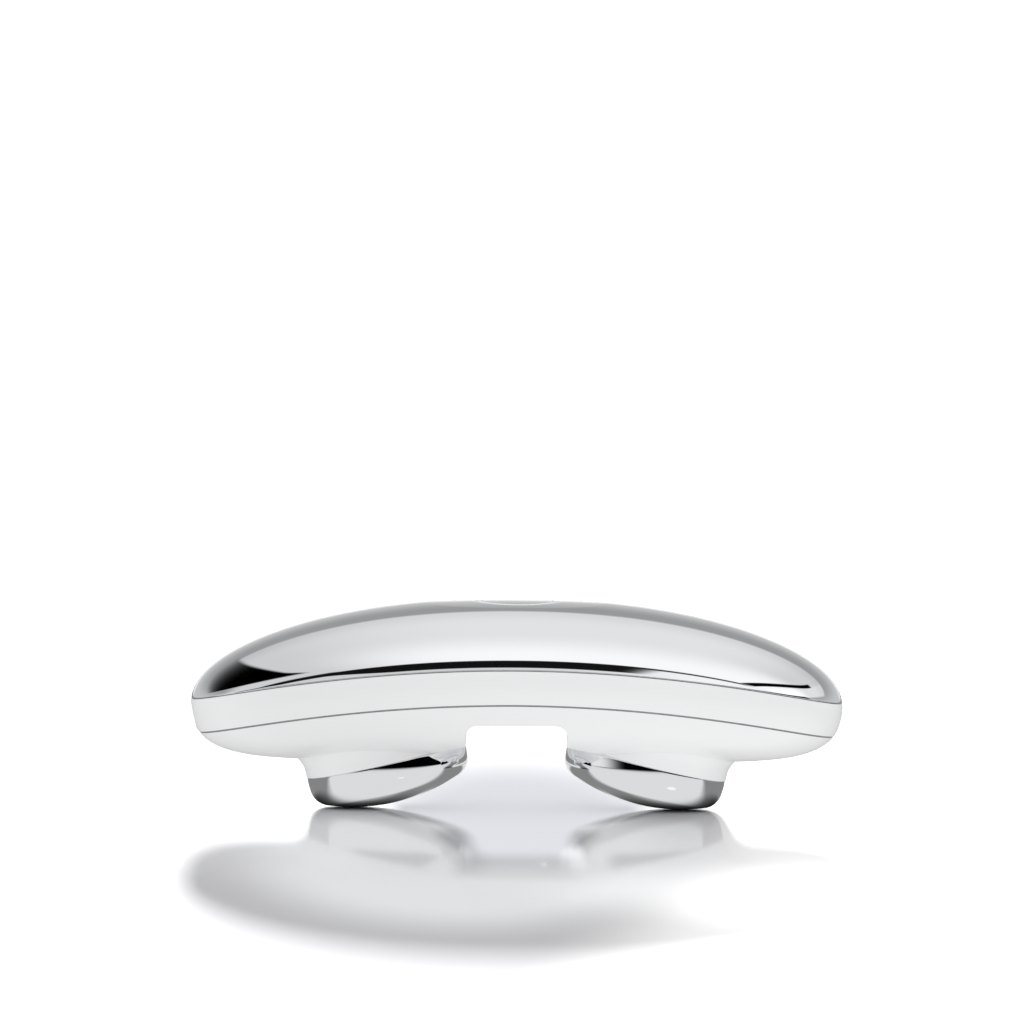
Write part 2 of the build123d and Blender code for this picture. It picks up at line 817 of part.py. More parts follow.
with BuildPart() as charge_chip:
    with BuildSketch(Plane.XY.offset(board_top + stack_clearance)):
        with Locations(charge_chip_place):
            Rectangle(charge_chip_side, charge_chip_side)
    extrude(amount=charge_chip_height)
    chamfer(charge_chip.edges().group_by(Axis.Z)[-1], small_bevel / 2)
finish(charge_chip, "charge_chip")

with BuildPart() as board_capacitors:
    with BuildSketch(Plane.XY.offset(board_top + stack_clearance)):
        with Locations(capacitor_place):
            with GridLocations(capacitor_pitch, 0, capacitor_count, 1):
                Circle(capacitor_radius)
    extrude(amount=capacitor_height)
    chamfer(board_capacitors.edges().group_by(Axis.Z)[-1], small_bevel)
finish(board_capacitors, "board_capacitors")

# Pulse transformer: two bobbin flanges and the winding between them
transformer_bottom = board_top + stack_clearance
winding_bottom = transformer_bottom + transformer_flange
with BuildPart() as pulse_transformer:
    for flange_bottom in (transformer_bottom, winding_bottom + winding_height):
        with BuildSketch(Plane.XY.offset(flange_bottom)):
            with Locations((transformer_x, 0)):
                RectangleRounded(transformer_length, transformer_width, transformer_corner)
        extrude(amount=transformer_flange)
    with BuildSketch(Plane.XY.offset(winding_bottom)):
        with Locations((transformer_x, 0)):
            Circle(winding_radius)
    extrude(amount=winding_height)
finish(pulse_transformer, "pulse_transformer")

with BuildPart() as indicator_leds:
    with BuildSketch(Plane.XY.offset(board_top + stack_clearance)):
        with PolarLocations(led_circle_radius, led_count, start_angle=45):
            Rectangle(led_depth, led_length)
    extrude(amount=led_height)
finish(indicator_leds, "indicator_leds")

# ---------------------------------------------------------------- switch, shroud and button
with BuildPart() as switch_body:
    with BuildSketch(Plane.XY.offset(board_top + stack_clearance)):
        Rectangle(switch_side, switch_side)
    extrude(amount=switch_height - stack_clearance)
    chamfer(switch_body.edges().filter_by(Axis.Z), small_bevel)
    with BuildSketch(Plane.XY.offset(board_top + switch_height)):
        Circle(plunger_radius + plunger_clearance)
    well = board_top + switch_height - (plunger_top - plunger_length - button_travel)
    extrude(amount=-(well + plunger_room), mode=Mode.SUBTRACT)
finish(switch_body, "switch_body")

with BuildPart() as switch_plunger:
    with BuildSketch(Plane.XY.offset(plunger_top)):
        Circle(plunger_radius)
    extrude(amount=-plunger_length)
    chamfer(switch_plunger.edges().group_by(Axis.Z)[-1], 0.2)
finish(switch_plunger, "switch_plunger")

# Shroud: an outer wall keeps the light in and an inner post carries the return pad
shroud_bottom = board_top + stack_clearance
with BuildPart() as light_shroud:
    with BuildSketch(Plane.XY.offset(shroud_bottom)):
        Circle(shroud_outer_radius)
        Circle(post_inner_radius, mode=Mode.SUBTRACT)
        with PolarLocations(led_circle_radius, led_count, start_angle=45):
            Rectangle(led_depth + led_window, led_length + led_window, mode=Mode.SUBTRACT)
    extrude(amount=shroud_base)
    with BuildSketch(Plane.XY.offset(shroud_bottom)):
        Circle(shroud_outer_radius)
        Circle(shroud_outer_radius - shroud_wall, mode=Mode.SUBTRACT)
    extrude(amount=ring_bottom - stem_clearance - shroud_bottom)
    with BuildSketch(Plane.XY.offset(shroud_bottom)):
        Circle(post_outer_radius)
        Circle(post_inner_radius, mode=Mode.SUBTRACT)
    extrude(amount=post_top - shroud_bottom)
    with BuildSketch(Plane.XY.offset(shroud_bottom)):
        with Locations((peg_x, 0), (-peg_x, 0)):
            Circle(peg_radius)
    extrude(amount=-board_thickness)
finish(light_shroud, "light_shroud")

# Ring and cap take their tops from the dome with the thumb pad cut into it
with BuildPart() as padded_dome:
    add(outer_body)
    add(pad_cutter.part, mode=Mode.SUBTRACT)

dome_reach = middle_height + 2 * crown_height
with BuildPart() as light_ring:
    with BuildSketch(Plane.XY.offset(ring_bottom)):
        Circle(ring_outer_radius)
        Circle(ring_inner_radius, mode=Mode.SUBTRACT)
    extrude(amount=dome_reach - ring_bottom)
    add(padded_dome.part, mode=Mode.INTERSECT)

with BuildPart() as ring_flange:
    with BuildSketch(Plane.XY.offset(ring_bottom)):
        Circle(ring_outer_radius + ring_flange_width)
        Circle(ring_inner_radius, mode=Mode.SUBTRACT)
    extrude(amount=dome_reach - ring_bottom)
    add(ring_seat_body, mode=Mode.INTERSECT)

with BuildPart() as light_ring_whole:
    add(light_ring.part)
    add(ring_flange.part)
finish(light_ring_whole, "light_ring")

with BuildPart() as power_button:
    with BuildSketch(Plane.XY.offset(button_skirt_bottom)):
        Circle(button_radius)
    extrude(amount=dome_reach - button_skirt_bottom)
    add(padded_dome.part, mode=Mode.INTERSECT)
    with BuildSketch(Plane.XY.offset(button_skirt_bottom)):
        Circle(button_radius - button_wall)
    extrude(amount=button_ceiling - button_skirt_bottom, mode=Mode.SUBTRACT)
    stem_bottom = plunger_top + stem_clearance
    with BuildSketch(Plane.XY.offset(stem_bottom)):
        Circle(button_stem_radius)
    extrude(amount=button_ceiling - stem_bottom)
    # lugs under the light ring keep the button in
    with BuildSketch(Plane.XY.offset(button_skirt_bottom)):
        with PolarLocations((button_radius + lug_reach) / 2 - button_wall / 4, lug_count):
            Rectangle(lug_reach - button_radius + button_wall / 2, lug_width)
    extrude(amount=lug_height)
finish(power_button, "power_button")

with BuildPart() as button_return_pad:
    with BuildSketch(Plane.XY.offset(post_top + gasket_clearance)):
        Circle(post_outer_radius - ring_clearance)
        Circle(post_inner_radius + ring_clearance, mode=Mode.SUBTRACT)
    extrude(amount=button_skirt_bottom - post_top - 2 * gasket_clearance)
finish(button_return_pad, "button_return_pad")

# ---------------------------------------------------------------- charging port
port_plane = port_mouth.offset(port_recess)
port_gasket_front = port_mouth.offset(port_gasket_recess)
port_well = port_length - port_back_wall
with BuildPart() as port_shell:
    with BuildSketch(port_plane):
        SlotOverall(port_width, port_depth_z)
    extrude(amount=port_length)
    with BuildSketch(port_plane):
        SlotOverall(port_width - 2 * port_shell_wall, port_depth_z - 2 * port_shell_wall)
    extrude(amount=port_well, mode=Mode.SUBTRACT)
finish(port_shell, "port_shell")

with BuildPart() as port_tongue:
    with BuildSketch(port_plane.offset(port_well - gasket_clearance)):
        Rectangle(port_tongue_width, port_tongue_thickness)
    extrude(amount=-port_tongue_length)
finish(port_tongue, "port_tongue")

with BuildPart() as port_gasket:
    with BuildSketch(port_gasket_front):
        SlotOverall(port_width + 2 * port_gasket_wall, port_depth_z + 2 * port_gasket_wall)
        SlotOverall(
            port_width + 2 * gasket_clearance,
            port_depth_z + 2 * gasket_clearance,
            mode=Mode.SUBTRACT,
        )
    extrude(amount=port_gasket_length)
finish(port_gasket, "port_gasket")

with BuildPart() as port_board:
    with BuildSketch(Plane.XY.offset(port_board_top - port_board_thickness)):
        with Locations((port_board_left + port_board_length / 2, 0)):
            RectangleRounded(port_board_length, port_board_width, 2.0)
        with Locations(*post_places):
            Circle(small_screw_shank_radius + fit_clearance, mode=Mode.SUBTRACT)
    extrude(amount=port_board_thickness)
finish(port_board, "port_board")

port_screws = screws(
    post_places,
    port_board_top + stack_clearance,
    small_screw_head_radius,
    small_screw_head_height,
    small_screw_shank_radius - stack_clearance,
    small_screw_length,
)
finish(port_screws, "port_screws")

# Flat ribbon from the port board up through the chassis slot to a socket on the main board
ribbon_low = port_board_top + stack_clearance + ribbon_thickness
ribbon_high = board_top + stack_clearance + ribbon_socket_height / 2
with BuildPart() as port_ribbon:
    with BuildLine(Plane.XZ):
        FilletPolyline(
            (ribbon_left, ribbon_low),
            (ribbon_slope_x, ribbon_low),
            (ribbon_rise_x, ribbon_low + ribbon_slope_rise),
            (ribbon_rise_x, ribbon_high),
            (ribbon_right, ribbon_high),
            radius=1.0,
        )
    with BuildSketch(Plane.YZ.offset(ribbon_left)):
        with Locations((0, ribbon_low)):
            Rectangle(ribbon_width, ribbon_thickness)
    sweep()
finish(port_ribbon, "port_ribbon")

with BuildPart() as ribbon_socket:
    with BuildSketch(Plane.XY.offset(board_top + stack_clearance)):
        with Locations((ribbon_right + ribbon_socket_length / 2 + fit_clearance, 0)):
            Rectangle(ribbon_socket_length, ribbon_width + 2 * ribbon_socket_height)
    extrude(amount=ribbon_socket_height)
    chamfer(ribbon_socket.edges().group_by(Axis.Z)[-1], small_bevel / 2)
finish(ribbon_socket, "ribbon_socket")

# ---------------------------------------------------------------- vibration motor
with BuildPart() as motor_pad:
    with BuildSketch(Plane.XY.offset(chassis_top + gasket_clearance)):
        with Locations((motor_x, 0)):
            Circle(motor_radius - small_bevel)
    extrude(amount=motor_pad_thickness)
finish(motor_pad, "motor_pad")

with BuildPart() as feedback_motor:
    with BuildSketch(Plane.XY.offset(chassis_top + motor_pad_thickness + 2 * gasket_clearance)):
        with Locations((motor_x, 0)):
            Circle(motor_radius)
    extrude(amount=motor_height)
    chamfer(feedback_motor.edges().group_by(Axis.Z)[-1], small_bevel)
finish(feedback_motor, "feedback_motor")
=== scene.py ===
# %% [markdown]
# # A facial toning device on a white table
# The device is a palm-sized pebble with a plated cover, a white band and a white lower housing
# that stands on two plated domes. The CAD model is loaded first and stays as it is. This lesson
# gives each of its pieces a finish and sets up a small photo studio round it.

# %% Load the CAD model
import bpy
import math

import numpy as np
from mathutils import Matrix, Vector


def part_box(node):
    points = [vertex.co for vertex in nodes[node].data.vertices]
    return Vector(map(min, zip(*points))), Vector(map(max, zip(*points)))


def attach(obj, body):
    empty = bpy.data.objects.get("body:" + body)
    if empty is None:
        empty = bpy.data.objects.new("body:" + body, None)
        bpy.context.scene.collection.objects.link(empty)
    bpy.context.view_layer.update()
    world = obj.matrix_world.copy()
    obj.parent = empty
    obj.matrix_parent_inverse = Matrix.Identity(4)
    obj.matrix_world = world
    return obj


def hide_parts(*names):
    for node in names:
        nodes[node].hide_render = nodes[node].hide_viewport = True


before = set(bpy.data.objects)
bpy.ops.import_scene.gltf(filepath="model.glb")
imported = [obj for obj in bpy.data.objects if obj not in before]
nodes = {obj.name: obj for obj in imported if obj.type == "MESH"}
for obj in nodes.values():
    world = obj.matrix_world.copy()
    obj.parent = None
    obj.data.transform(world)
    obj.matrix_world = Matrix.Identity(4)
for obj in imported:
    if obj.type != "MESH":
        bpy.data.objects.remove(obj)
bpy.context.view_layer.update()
print("nodes loaded:", len(nodes))

# %% [markdown]
# ## The camera
# The device is looked at from the front, only three degrees above the table, through a long
# lens. A long lens keeps the two ends the same size, so the outline reads as a drawing would.
# The camera is placed by its target, its distance and two angles, and its lens is worked out
# from the width of table that has to fit in the picture.

# %% Place the camera
MM = 0.001
SENSOR_WIDTH = 36.0
view_width = 196.0 * MM
view_distance = 2.2
view_elevation = math.radians(3.05)
view_roll = math.radians(0.45)
view_target = Vector((-1.2 * MM, 0, 56.75 * MM))

camera_data = bpy.data.cameras.new("front_camera")
camera = bpy.data.objects.new("front_camera", camera_data)
bpy.context.scene.collection.objects.link(camera)
bpy.context.scene.camera = camera
camera_data.sensor_width = SENSOR_WIDTH
camera_data.lens = SENSOR_WIDTH * view_distance / view_width
camera_data.clip_start = 0.05
camera_data.clip_end = 100.0
direction = Vector((0, math.cos(view_elevation), -math.sin(view_elevation)))
camera.location = view_target - view_distance * direction
camera.rotation_mode = "QUATERNION"
level = direction.to_track_quat("-Z", "Y")
rolled = level @ Matrix.Rotation(view_roll, 3, "Z").to_quaternion()
camera.rotation_quaternion = rolled
print("lens in mm:", round(camera_data.lens, 1))

# %% [markdown]
# ## The shape of the body
# The whole body is one pebble bent along a shallow arch. Measured along the arch, across it and
# above it, every point of its skin obeys one rule: the share of the length used up and the share
# of the section used up, each raised to the same power, add up to one. A rule is worth more than
# a traced outline, because any piece of the skin can be asked of it, as finely as a mirror
# needs. The height of the thumb pad comes from the CAD model, and the rest are the sizes of the
# rule itself.

# %% Sizes of the body
ARCH_RADIUS = 265.0 * MM
HALF_ARC = 62.6 * MM
HALF_WIDTH = 27.5 * MM
CROWN = 15.4 * MM
OUTLINE_POWER = 2.6
SECTION_FULLNESS = 0.60
WALL = 1.7 * MM
COVER_EDGE = 3.41 * MM
PAD_DEPTH = 0.3 * MM
PAD_LONG_RADIUS = 364.0 * MM
PAD_CROSS_RADIUS = 79.0 * MM
HOLE_RADIUS = 8.1 * MM
PAD_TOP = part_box("power_button")[1][2]
MIDDLE_HEIGHT = PAD_TOP + PAD_DEPTH - CROWN
print("middle line over the table, in mm:", round(MIDDLE_HEIGHT / MM, 2))

# %% The section of the pebble
CURVE_POINTS = 4001
HALVINGS = 44
bezier = np.linspace(0, 1, CURVE_POINTS)
unit_width = (1 - bezier) ** 3 + 3 * (1 - bezier) ** 2 * bezier
unit_width = unit_width + 3 * (1 - bezier) * bezier**2 * SECTION_FULLNESS
unit_height = unit_width[::-1]
section_angle = np.arctan2(unit_height, unit_width)
section_radius = np.hypot(unit_height, unit_width)
print("points on the section:", len(section_radius))


# %% Points on the pebble
def skin_share(along, across, above, inset=0.0):
    """1 on the skin, less inside it and more outside it."""
    wide = np.abs(across) / (HALF_WIDTH - inset)
    high = np.abs(above) / (CROWN - inset)
    outline = np.interp(np.arctan2(high, wide), section_angle, section_radius)
    section = np.hypot(wide, high) / outline
    length = np.abs(along) / (HALF_ARC - inset)
    return (length**OUTLINE_POWER + section**OUTLINE_POWER) ** (1 / OUTLINE_POWER)


def skin_point(turn, rise, inset=0.0):
    """The skin in one direction: turned round the middle, then raised towards the crown."""
    along = HALF_ARC * np.cos(rise) * np.cos(turn)
    across = HALF_WIDTH * np.cos(rise) * np.sin(turn)
    above = CROWN * np.sin(rise)
    share = skin_share(along, across, above, inset)
    return along / share, across / share, above / share


def bend(along, across, above):
    """From lengths along, across and above the arch to the room's x, y and z."""
    angle = along / ARCH_RADIUS
    x = (ARCH_RADIUS + above) * np.sin(angle)
    z = MIDDLE_HEIGHT - ARCH_RADIUS + (ARCH_RADIUS + above) * np.cos(angle)
    return np.stack([x, across, z], axis=-1)


def settle(low, high, inside):
    """Halves the range between two arrays until inside turns from true to false."""
    for _ in range(HALVINGS):
        middle = (low + high) / 2
        within = inside(middle)
        low = np.where(within, middle, low)
        high = np.where(within, high, middle)
    return (low + high) / 2


print("length of the body in mm:", round(2 * bend(*skin_point(0.0, 0.0))[0] / MM, 2))

# %% [markdown]
# ## The plated cover
# The real cover is a thin moulding plated like a mirror, and a mirror shows every facet and
# every uneven normal. The CAD mesh is true to a few hundredths of a millimetre, which is not
# smooth enough for that, so this piece stands for it in the same place. No primitive bends into
# this skin, so its rings are worked out from the rule: from the button's hole outwards over the
# flat thumb pad, down the skin to the seam, round the rim, and back up inside the wall.

# %% Rings of the cover
TURNS = 448
SLIGHT_ANGLE = 1e-6
turns = np.linspace(0, 2 * np.pi, TURNS, endpoint=False)


def pad_height(x, y):
    """The thumb pad is a slightly crowned flat, cut across the top of the skin."""
    long_drop = PAD_LONG_RADIUS - np.sqrt(PAD_LONG_RADIUS**2 - x**2)
    cross_drop = PAD_CROSS_RADIUS - np.sqrt(PAD_CROSS_RADIUS**2 - y**2)
    return PAD_TOP - long_drop - cross_drop


def over_pad(rise):
    point = bend(*skin_point(turns, rise))
    return point[:, 2] > pad_height(point[:, 0], point[:, 1])


def above_height(height, inset):
    return lambda rise: skin_point(turns, rise, inset)[2] > height


top = np.full(TURNS, np.pi / 2 - SLIGHT_ANGLE)
flat = np.full(TURNS, SLIGHT_ANGLE)
pad_rise = settle(top, flat, over_pad)
pad_edge = bend(*skin_point(turns, pad_rise))
hole_turn = np.arctan2(pad_edge[:, 1], pad_edge[:, 0])
print("thumb pad, half length and half width in mm:", pad_edge.max(axis=0)[:2] / MM)

# %% The pad from the hole to its edge
EDGE = 0.12 * MM
EDGE_RINGS = 5
PAD_RINGS = 13
PAD_END = 0.985


def pad_ring(radius, share, drop=0.0):
    """share is 0 at the hole and 1 where the pad meets the skin."""
    start_x, start_y = radius * np.cos(hole_turn), radius * np.sin(hole_turn)
    x = start_x + share * (pad_edge[:, 0] - start_x)
    y = start_y + share * (pad_edge[:, 1] - start_y)
    return np.stack([x, y, pad_height(x, y) - drop], axis=-1)


cover_rings = []
for quarter in np.linspace(0, 1, EDGE_RINGS):
    lean = quarter * np.pi / 2
    radius = HOLE_RADIUS + EDGE * (1 - np.cos(lean))
    cover_rings.append(pad_ring(radius, 0.0, EDGE * (1 - np.sin(lean))))
for share in np.linspace(0, PAD_END, PAD_RINGS)[1:]:
    cover_rings.append(pad_ring(HOLE_RADIUS + EDGE, share))
print("rings on the pad:", len(cover_rings))

# %% The skin from the pad to the seam, and round the rim
SKIN_RINGS = 64
SKIN_START = 0.008
WALL_RINGS = 22
WALL_END = 0.86
rim_rise = settle(top, flat, above_height(COVER_EDGE + EDGE, 0.0))
for share in np.linspace(SKIN_START, 1, SKIN_RINGS):
    cover_rings.append(bend(*skin_point(turns, pad_rise + share * (rim_rise - pad_rise))))
for quarter in np.linspace(0, 1, EDGE_RINGS)[1:]:
    lean = quarter * np.pi / 2
    height = COVER_EDGE + EDGE * (1 - np.sin(lean))
    inset = EDGE * (1 - np.cos(lean))
    rise = settle(top, flat, above_height(height, inset))
    cover_rings.append(bend(*skin_point(turns, rise, inset)))

inside_rim = settle(top, flat, above_height(COVER_EDGE, WALL))
under_pad = bend(*skin_point(turns, top, WALL))[0, 2]
for share in np.linspace(0, WALL_END, WALL_RINGS):
    rise = inside_rim + share * (np.pi / 2 - inside_rim)
    cover_rings.append(bend(*skin_point(turns, rise, WALL)))
hole_x, hole_y = HOLE_RADIUS * np.cos(hole_turn), HOLE_RADIUS * np.sin(hole_turn)
cover_rings.append(np.stack([hole_x, hole_y, np.full(TURNS, under_pad)], axis=-1))
print("rings in all:", len(cover_rings))


# %% From rings to a mesh
MERGE_DISTANCE = 1e-7
COVER_SHARP_ANGLE = 40


def ring_mesh(name, rings):
    """Joins closed rings of points into one closed band of quads."""
    count = len(rings)
    around = len(rings[0])
    points = np.concatenate(rings)
    faces = []
    for row in range(count):
        start, after = row * around, ((row + 1) % count) * around
        for place in range(around):
            beside = (place + 1) % around
            faces.append((start + place, after + place, after + beside, start + beside))
    mesh = bpy.data.meshes.new(name)
    mesh.from_pydata(points.tolist(), [], faces)
    mesh.validate()
    piece = bpy.data.objects.new(name, mesh)
    bpy.context.scene.collection.objects.link(piece)
    return piece


def pick(piece):
    """Selects one object only and makes it the active one."""
    bpy.ops.object.select_all(action="DESELECT")
    piece.select_set(True)
    bpy.context.view_layer.objects.active = piece


def tidy_surface(piece, sharp_angle):
    """Merges doubles, turns faces outwards and shades smooth up to an angle in degrees."""
    pick(piece)
    bpy.ops.object.mode_set(mode="EDIT")
    bpy.ops.mesh.select_all(action="SELECT")
    bpy.ops.mesh.remove_doubles(threshold=MERGE_DISTANCE)
    bpy.ops.mesh.normals_make_consistent(inside=False)
    bpy.ops.object.mode_set(mode="OBJECT")
    bpy.ops.object.shade_smooth_by_angle(angle=math.radians(sharp_angle))


cover = ring_mesh("cover_shell", cover_rings)
tidy_surface(cover, COVER_SHARP_ANGLE)
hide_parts("top_cover")
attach(cover, "device")
print("cover faces:", len(cover.data.polygons))

# %% [markdown]
# ## The plated electrodes
# Each electrode is a turned part: a shallow dome with a rounded rim, a flat back with a groove
# for the seal, a spigot that centres it and a stud that holds it. The side is barrelled by a
# few hundredths of a millimetre, as a polished side is, which lets it mirror the room's horizon
# as a line instead of one even tone. A turned part is half an outline spun round its axis, which
# is how a lathe makes it, and many steps keep its mirror clean. The two lean opposite ways and
# are otherwise the same, so one outline is spun for both.

# %% Outline of an electrode
electrode_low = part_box("electrode_left")[0]
TILT = math.radians(13.6)
SPACING = 25.0 * MM
DOME_RADIUS = 36.0 * MM
DOME_DEPTH = 8.4 * MM
RIM_RADIUS = 15.4 * MM
RIM_EDGE = 3.6 * MM
SIDE_START = math.radians(9)
SIDE_END = math.radians(5)
BACK = -0.02 * MM
BEVEL = 0.1 * MM
GROOVE_INNER = 12.15 * MM
GROOVE_OUTER = 13.05 * MM
GROOVE_FLOOR = BACK - 0.86 * MM
SPIGOT_RADIUS = 10.6 * MM
SPIGOT_TOP = 1.18 * MM
STUD_RADIUS = 2.0 * MM
STUD_TOP = 8.38 * MM
STUD_BEVEL = 0.3 * MM
DOME_STEPS = 28
RIM_STEPS = 20
SIDE_STEPS = 14
dome_centre = DOME_RADIUS - DOME_DEPTH
rim_middle = RIM_RADIUS - RIM_EDGE
rim_height = dome_centre - math.sqrt((DOME_RADIUS - RIM_EDGE) ** 2 - rim_middle**2)
dome_turn = math.asin(rim_middle / (DOME_RADIUS - RIM_EDGE))

outline = [(0.0, -DOME_DEPTH)]
for step in range(1, DOME_STEPS + 1):
    lean = dome_turn * step / DOME_STEPS
    outline.append((DOME_RADIUS * math.sin(lean), dome_centre - DOME_RADIUS * math.cos(lean)))
rim_turn = math.pi / 2 - SIDE_START
for step in range(1, RIM_STEPS + 1):
    lean = dome_turn + (rim_turn - dome_turn) * step / RIM_STEPS
    outline.append(
        (rim_middle + RIM_EDGE * math.sin(lean), rim_height - RIM_EDGE * math.cos(lean))
    )
side_foot = outline[-1]
side_radius = (BACK - BEVEL - side_foot[1]) / (math.sin(SIDE_START) + math.sin(SIDE_END))
for step in range(1, SIDE_STEPS + 1):
    lean = -SIDE_START + (SIDE_START + SIDE_END) * step / SIDE_STEPS
    out = side_radius * (math.cos(lean) - math.cos(SIDE_START))
    up = side_radius * (math.sin(lean) + math.sin(SIDE_START))
    outline.append((side_foot[0] + out, side_foot[1] + up))
print("points from the dome to the back:", len(outline))

# %% The back of an electrode
BEVEL_BULGE = 0.3 * BEVEL
edge_radius = outline[-1][0]
outline += [(edge_radius - BEVEL_BULGE, BACK - BEVEL_BULGE), (edge_radius - BEVEL, BACK)]
outline += [(GROOVE_OUTER, BACK), (GROOVE_OUTER, GROOVE_FLOOR)]
outline += [(GROOVE_INNER, GROOVE_FLOOR), (GROOVE_INNER, BACK)]
outline += [(SPIGOT_RADIUS, BACK), (SPIGOT_RADIUS, SPIGOT_TOP), (STUD_RADIUS, SPIGOT_TOP)]
outline += [(STUD_RADIUS, STUD_TOP - STUD_BEVEL), (STUD_RADIUS - STUD_BEVEL, STUD_TOP)]
outline += [(0.0, STUD_TOP)]
print("points on the outline:", len(outline))


# %% Spin the outline
SPIN_STEPS = 192
DOME_SHARP_ANGLE = 30


def turned(name, points, steps):
    """Spins an outline of radius and height round the z axis."""
    mesh = bpy.data.meshes.new(name)
    corners = [(radius, 0.0, height) for radius, height in points]
    mesh.from_pydata(corners, [(place, place + 1) for place in range(len(points) - 1)], [])
    piece = bpy.data.objects.new(name, mesh)
    bpy.context.scene.collection.objects.link(piece)
    pick(piece)
    bpy.ops.object.mode_set(mode="EDIT")
    bpy.ops.mesh.select_all(action="SELECT")
    bpy.ops.mesh.spin(steps=steps, angle=2 * math.pi, center=(0, 0, 0), axis=(0, 0, 1))
    bpy.ops.object.mode_set(mode="OBJECT")
    return piece


def place_electrode(side, node):
    """Spins one electrode, leans it on its seat and applies that place to its mesh."""
    piece = turned("plated_dome_" + node.split("_")[1], outline, SPIN_STEPS)
    seat = DOME_RADIUS - dome_centre * math.cos(TILT)
    piece.location = (side * SPACING, 0, seat)
    piece.rotation_euler = (0, side * TILT, 0)
    pick(piece)
    bpy.ops.object.transform_apply(location=True, rotation=True, scale=True)
    tidy_surface(piece, DOME_SHARP_ANGLE)
    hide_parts(node)
    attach(piece, "device")
    return piece


domes = [place_electrode(-1, "electrode_left"), place_electrode(1, "electrode_right")]
lowest = min(corner.co.z for dome in domes for corner in dome.data.vertices)
print("lowest point of the domes in mm:", round(lowest / MM, 3))
print("and of the CAD electrode in mm:", round(electrode_low[2] / MM, 3))

# %% [markdown]
# ## Shader arithmetic
# A finish is a small network of shader nodes. Written out node by node it is long and hard to
# read, so a small class wraps a socket and lets the usual operators add the Math nodes.


# %% A socket that knows arithmetic
class Signal:
    """An output socket of a shader node. Arithmetic on it adds Math nodes."""

    def __init__(self, paint, socket):
        self.paint = paint
        self.socket = socket

    def math(self, operation, *values):
        return self.paint.node("ShaderNodeMath", {"operation": operation}, *values)

    def __add__(self, other):
        return self.math("ADD", self, other)

    def __sub__(self, other):
        return self.math("SUBTRACT", self, other)

    def __rsub__(self, other):
        return self.math("SUBTRACT", other, self)

    def __mul__(self, other):
        return self.math("MULTIPLY", self, other)

    def __truediv__(self, other):
        return self.math("DIVIDE", self, other)

    def __pow__(self, other):
        return self.math("POWER", self, other)

    def __abs__(self):
        return self.math("ABSOLUTE", self)

    __radd__ = __add__
    __rmul__ = __mul__

    def sine(self):
        return self.math("SINE", self)

    def step(self, low, high):
        """0 below low, 1 above high and a smooth change between them."""
        settings = {"interpolation_type": "SMOOTHSTEP"}
        return self.paint.node("ShaderNodeMapRange", settings, self, low, high)

    def band(self, low, high, soft):
        """1 between low and high, 0 outside, soft at both ends."""
        return self.step(low - soft, low + soft) * (1 - self.step(high - soft, high + soft))

    def wave(self, pitch):
        """Runs from 0 to 1 and starts again every pitch."""
        return self.math("FRACT", self / pitch)


def distance(x, y):
    """How far a point lies from the middle, from its two places."""
    return (x * x + y * y) ** 0.5


print("from the middle to a point 3 across and 4 up:", distance(3, 4))


# %% A network of nodes
MIX_FACTOR, MIX_FIRST, MIX_SECOND, MIX_RESULT = 0, 6, 7, 2


class Paint:
    """Adds nodes to a node tree and joins them."""

    def __init__(self, tree):
        self.tree = tree
        tree.nodes.clear()

    def node(self, kind, settings, *values, out=0, **named):
        """Adds a node: its settings come first, then the values or links of its sockets."""
        node = self.tree.nodes.new(kind)
        for name, setting in settings.items():
            if name == "stops":
                self.set_stops(node.color_ramp, setting)
            else:
                setattr(node, name, setting)
        sockets = dict(enumerate(values))
        sockets.update({name.replace("_", " "): value for name, value in named.items()})
        for place, value in sockets.items():
            if isinstance(value, Signal):
                self.tree.links.new(value.socket, node.inputs[place])
            elif value is not None:
                node.inputs[place].default_value = value
        return Signal(self, node.outputs[out])

    def set_stops(self, ramp, stops):
        while len(ramp.elements) < len(stops):
            ramp.elements.new(1.0)
        for element, (place, colour) in zip(ramp.elements, stops):
            element.position = place
            element.color = (*colour, 1.0)

    def blend(self, factor, first, second):
        """A colour between two others."""
        node = self.tree.nodes.new("ShaderNodeMix")
        node.data_type = "RGBA"
        for place, value in ((MIX_FACTOR, factor), (MIX_FIRST, first), (MIX_SECOND, second)):
            if isinstance(value, Signal):
                self.tree.links.new(value.socket, node.inputs[place])
            elif place == MIX_FACTOR:
                node.inputs[place].default_value = value
            else:
                node.inputs[place].default_value = (*value, 1.0)
        return Signal(self, node.outputs[MIX_RESULT])

    def split(self, vector):
        """The three numbers of a vector."""
        node = self.tree.nodes.new("ShaderNodeSeparateXYZ")
        self.tree.links.new(vector.socket, node.inputs[0])
        return [Signal(self, output) for output in node.outputs]

    def output(self, kind, shader):
        node = self.tree.nodes.new(kind)
        self.tree.links.new(shader.socket, node.inputs[0])


print("helpers ready")

# %% [markdown]
# ## The studio
# A plated dome shows the room more than it shows itself. Here the room is a wide white panel
# overhead that ends short of the left end of the device and has one black strip near its right
# end. In front of the panel are a black gap and a pale wall that is dark low down, and behind it
# is a grey wall. The world shader gives that room to mirror rays, plain white to the camera, and
# an even light to everything else, so colours stay as they are written.
#
# A ray is judged by where it meets a ceiling one unit up: across counts to the right and depth
# away from the camera. Every edge is a smooth step between two such places. Tones run from 0 to
# 255, as on a screen, and are turned into light at the end.

# %% Tones and light
SCREEN_WHITE = 255
SCREEN_GAMMA = 2.2
PLATING_SHARE = 0.935
WHITE = (1, 1, 1, 1)


def light_of(tone):
    """The light that has to reach the plating for it to show a tone."""
    return (tone / SCREEN_WHITE) ** SCREEN_GAMMA / PLATING_SHARE


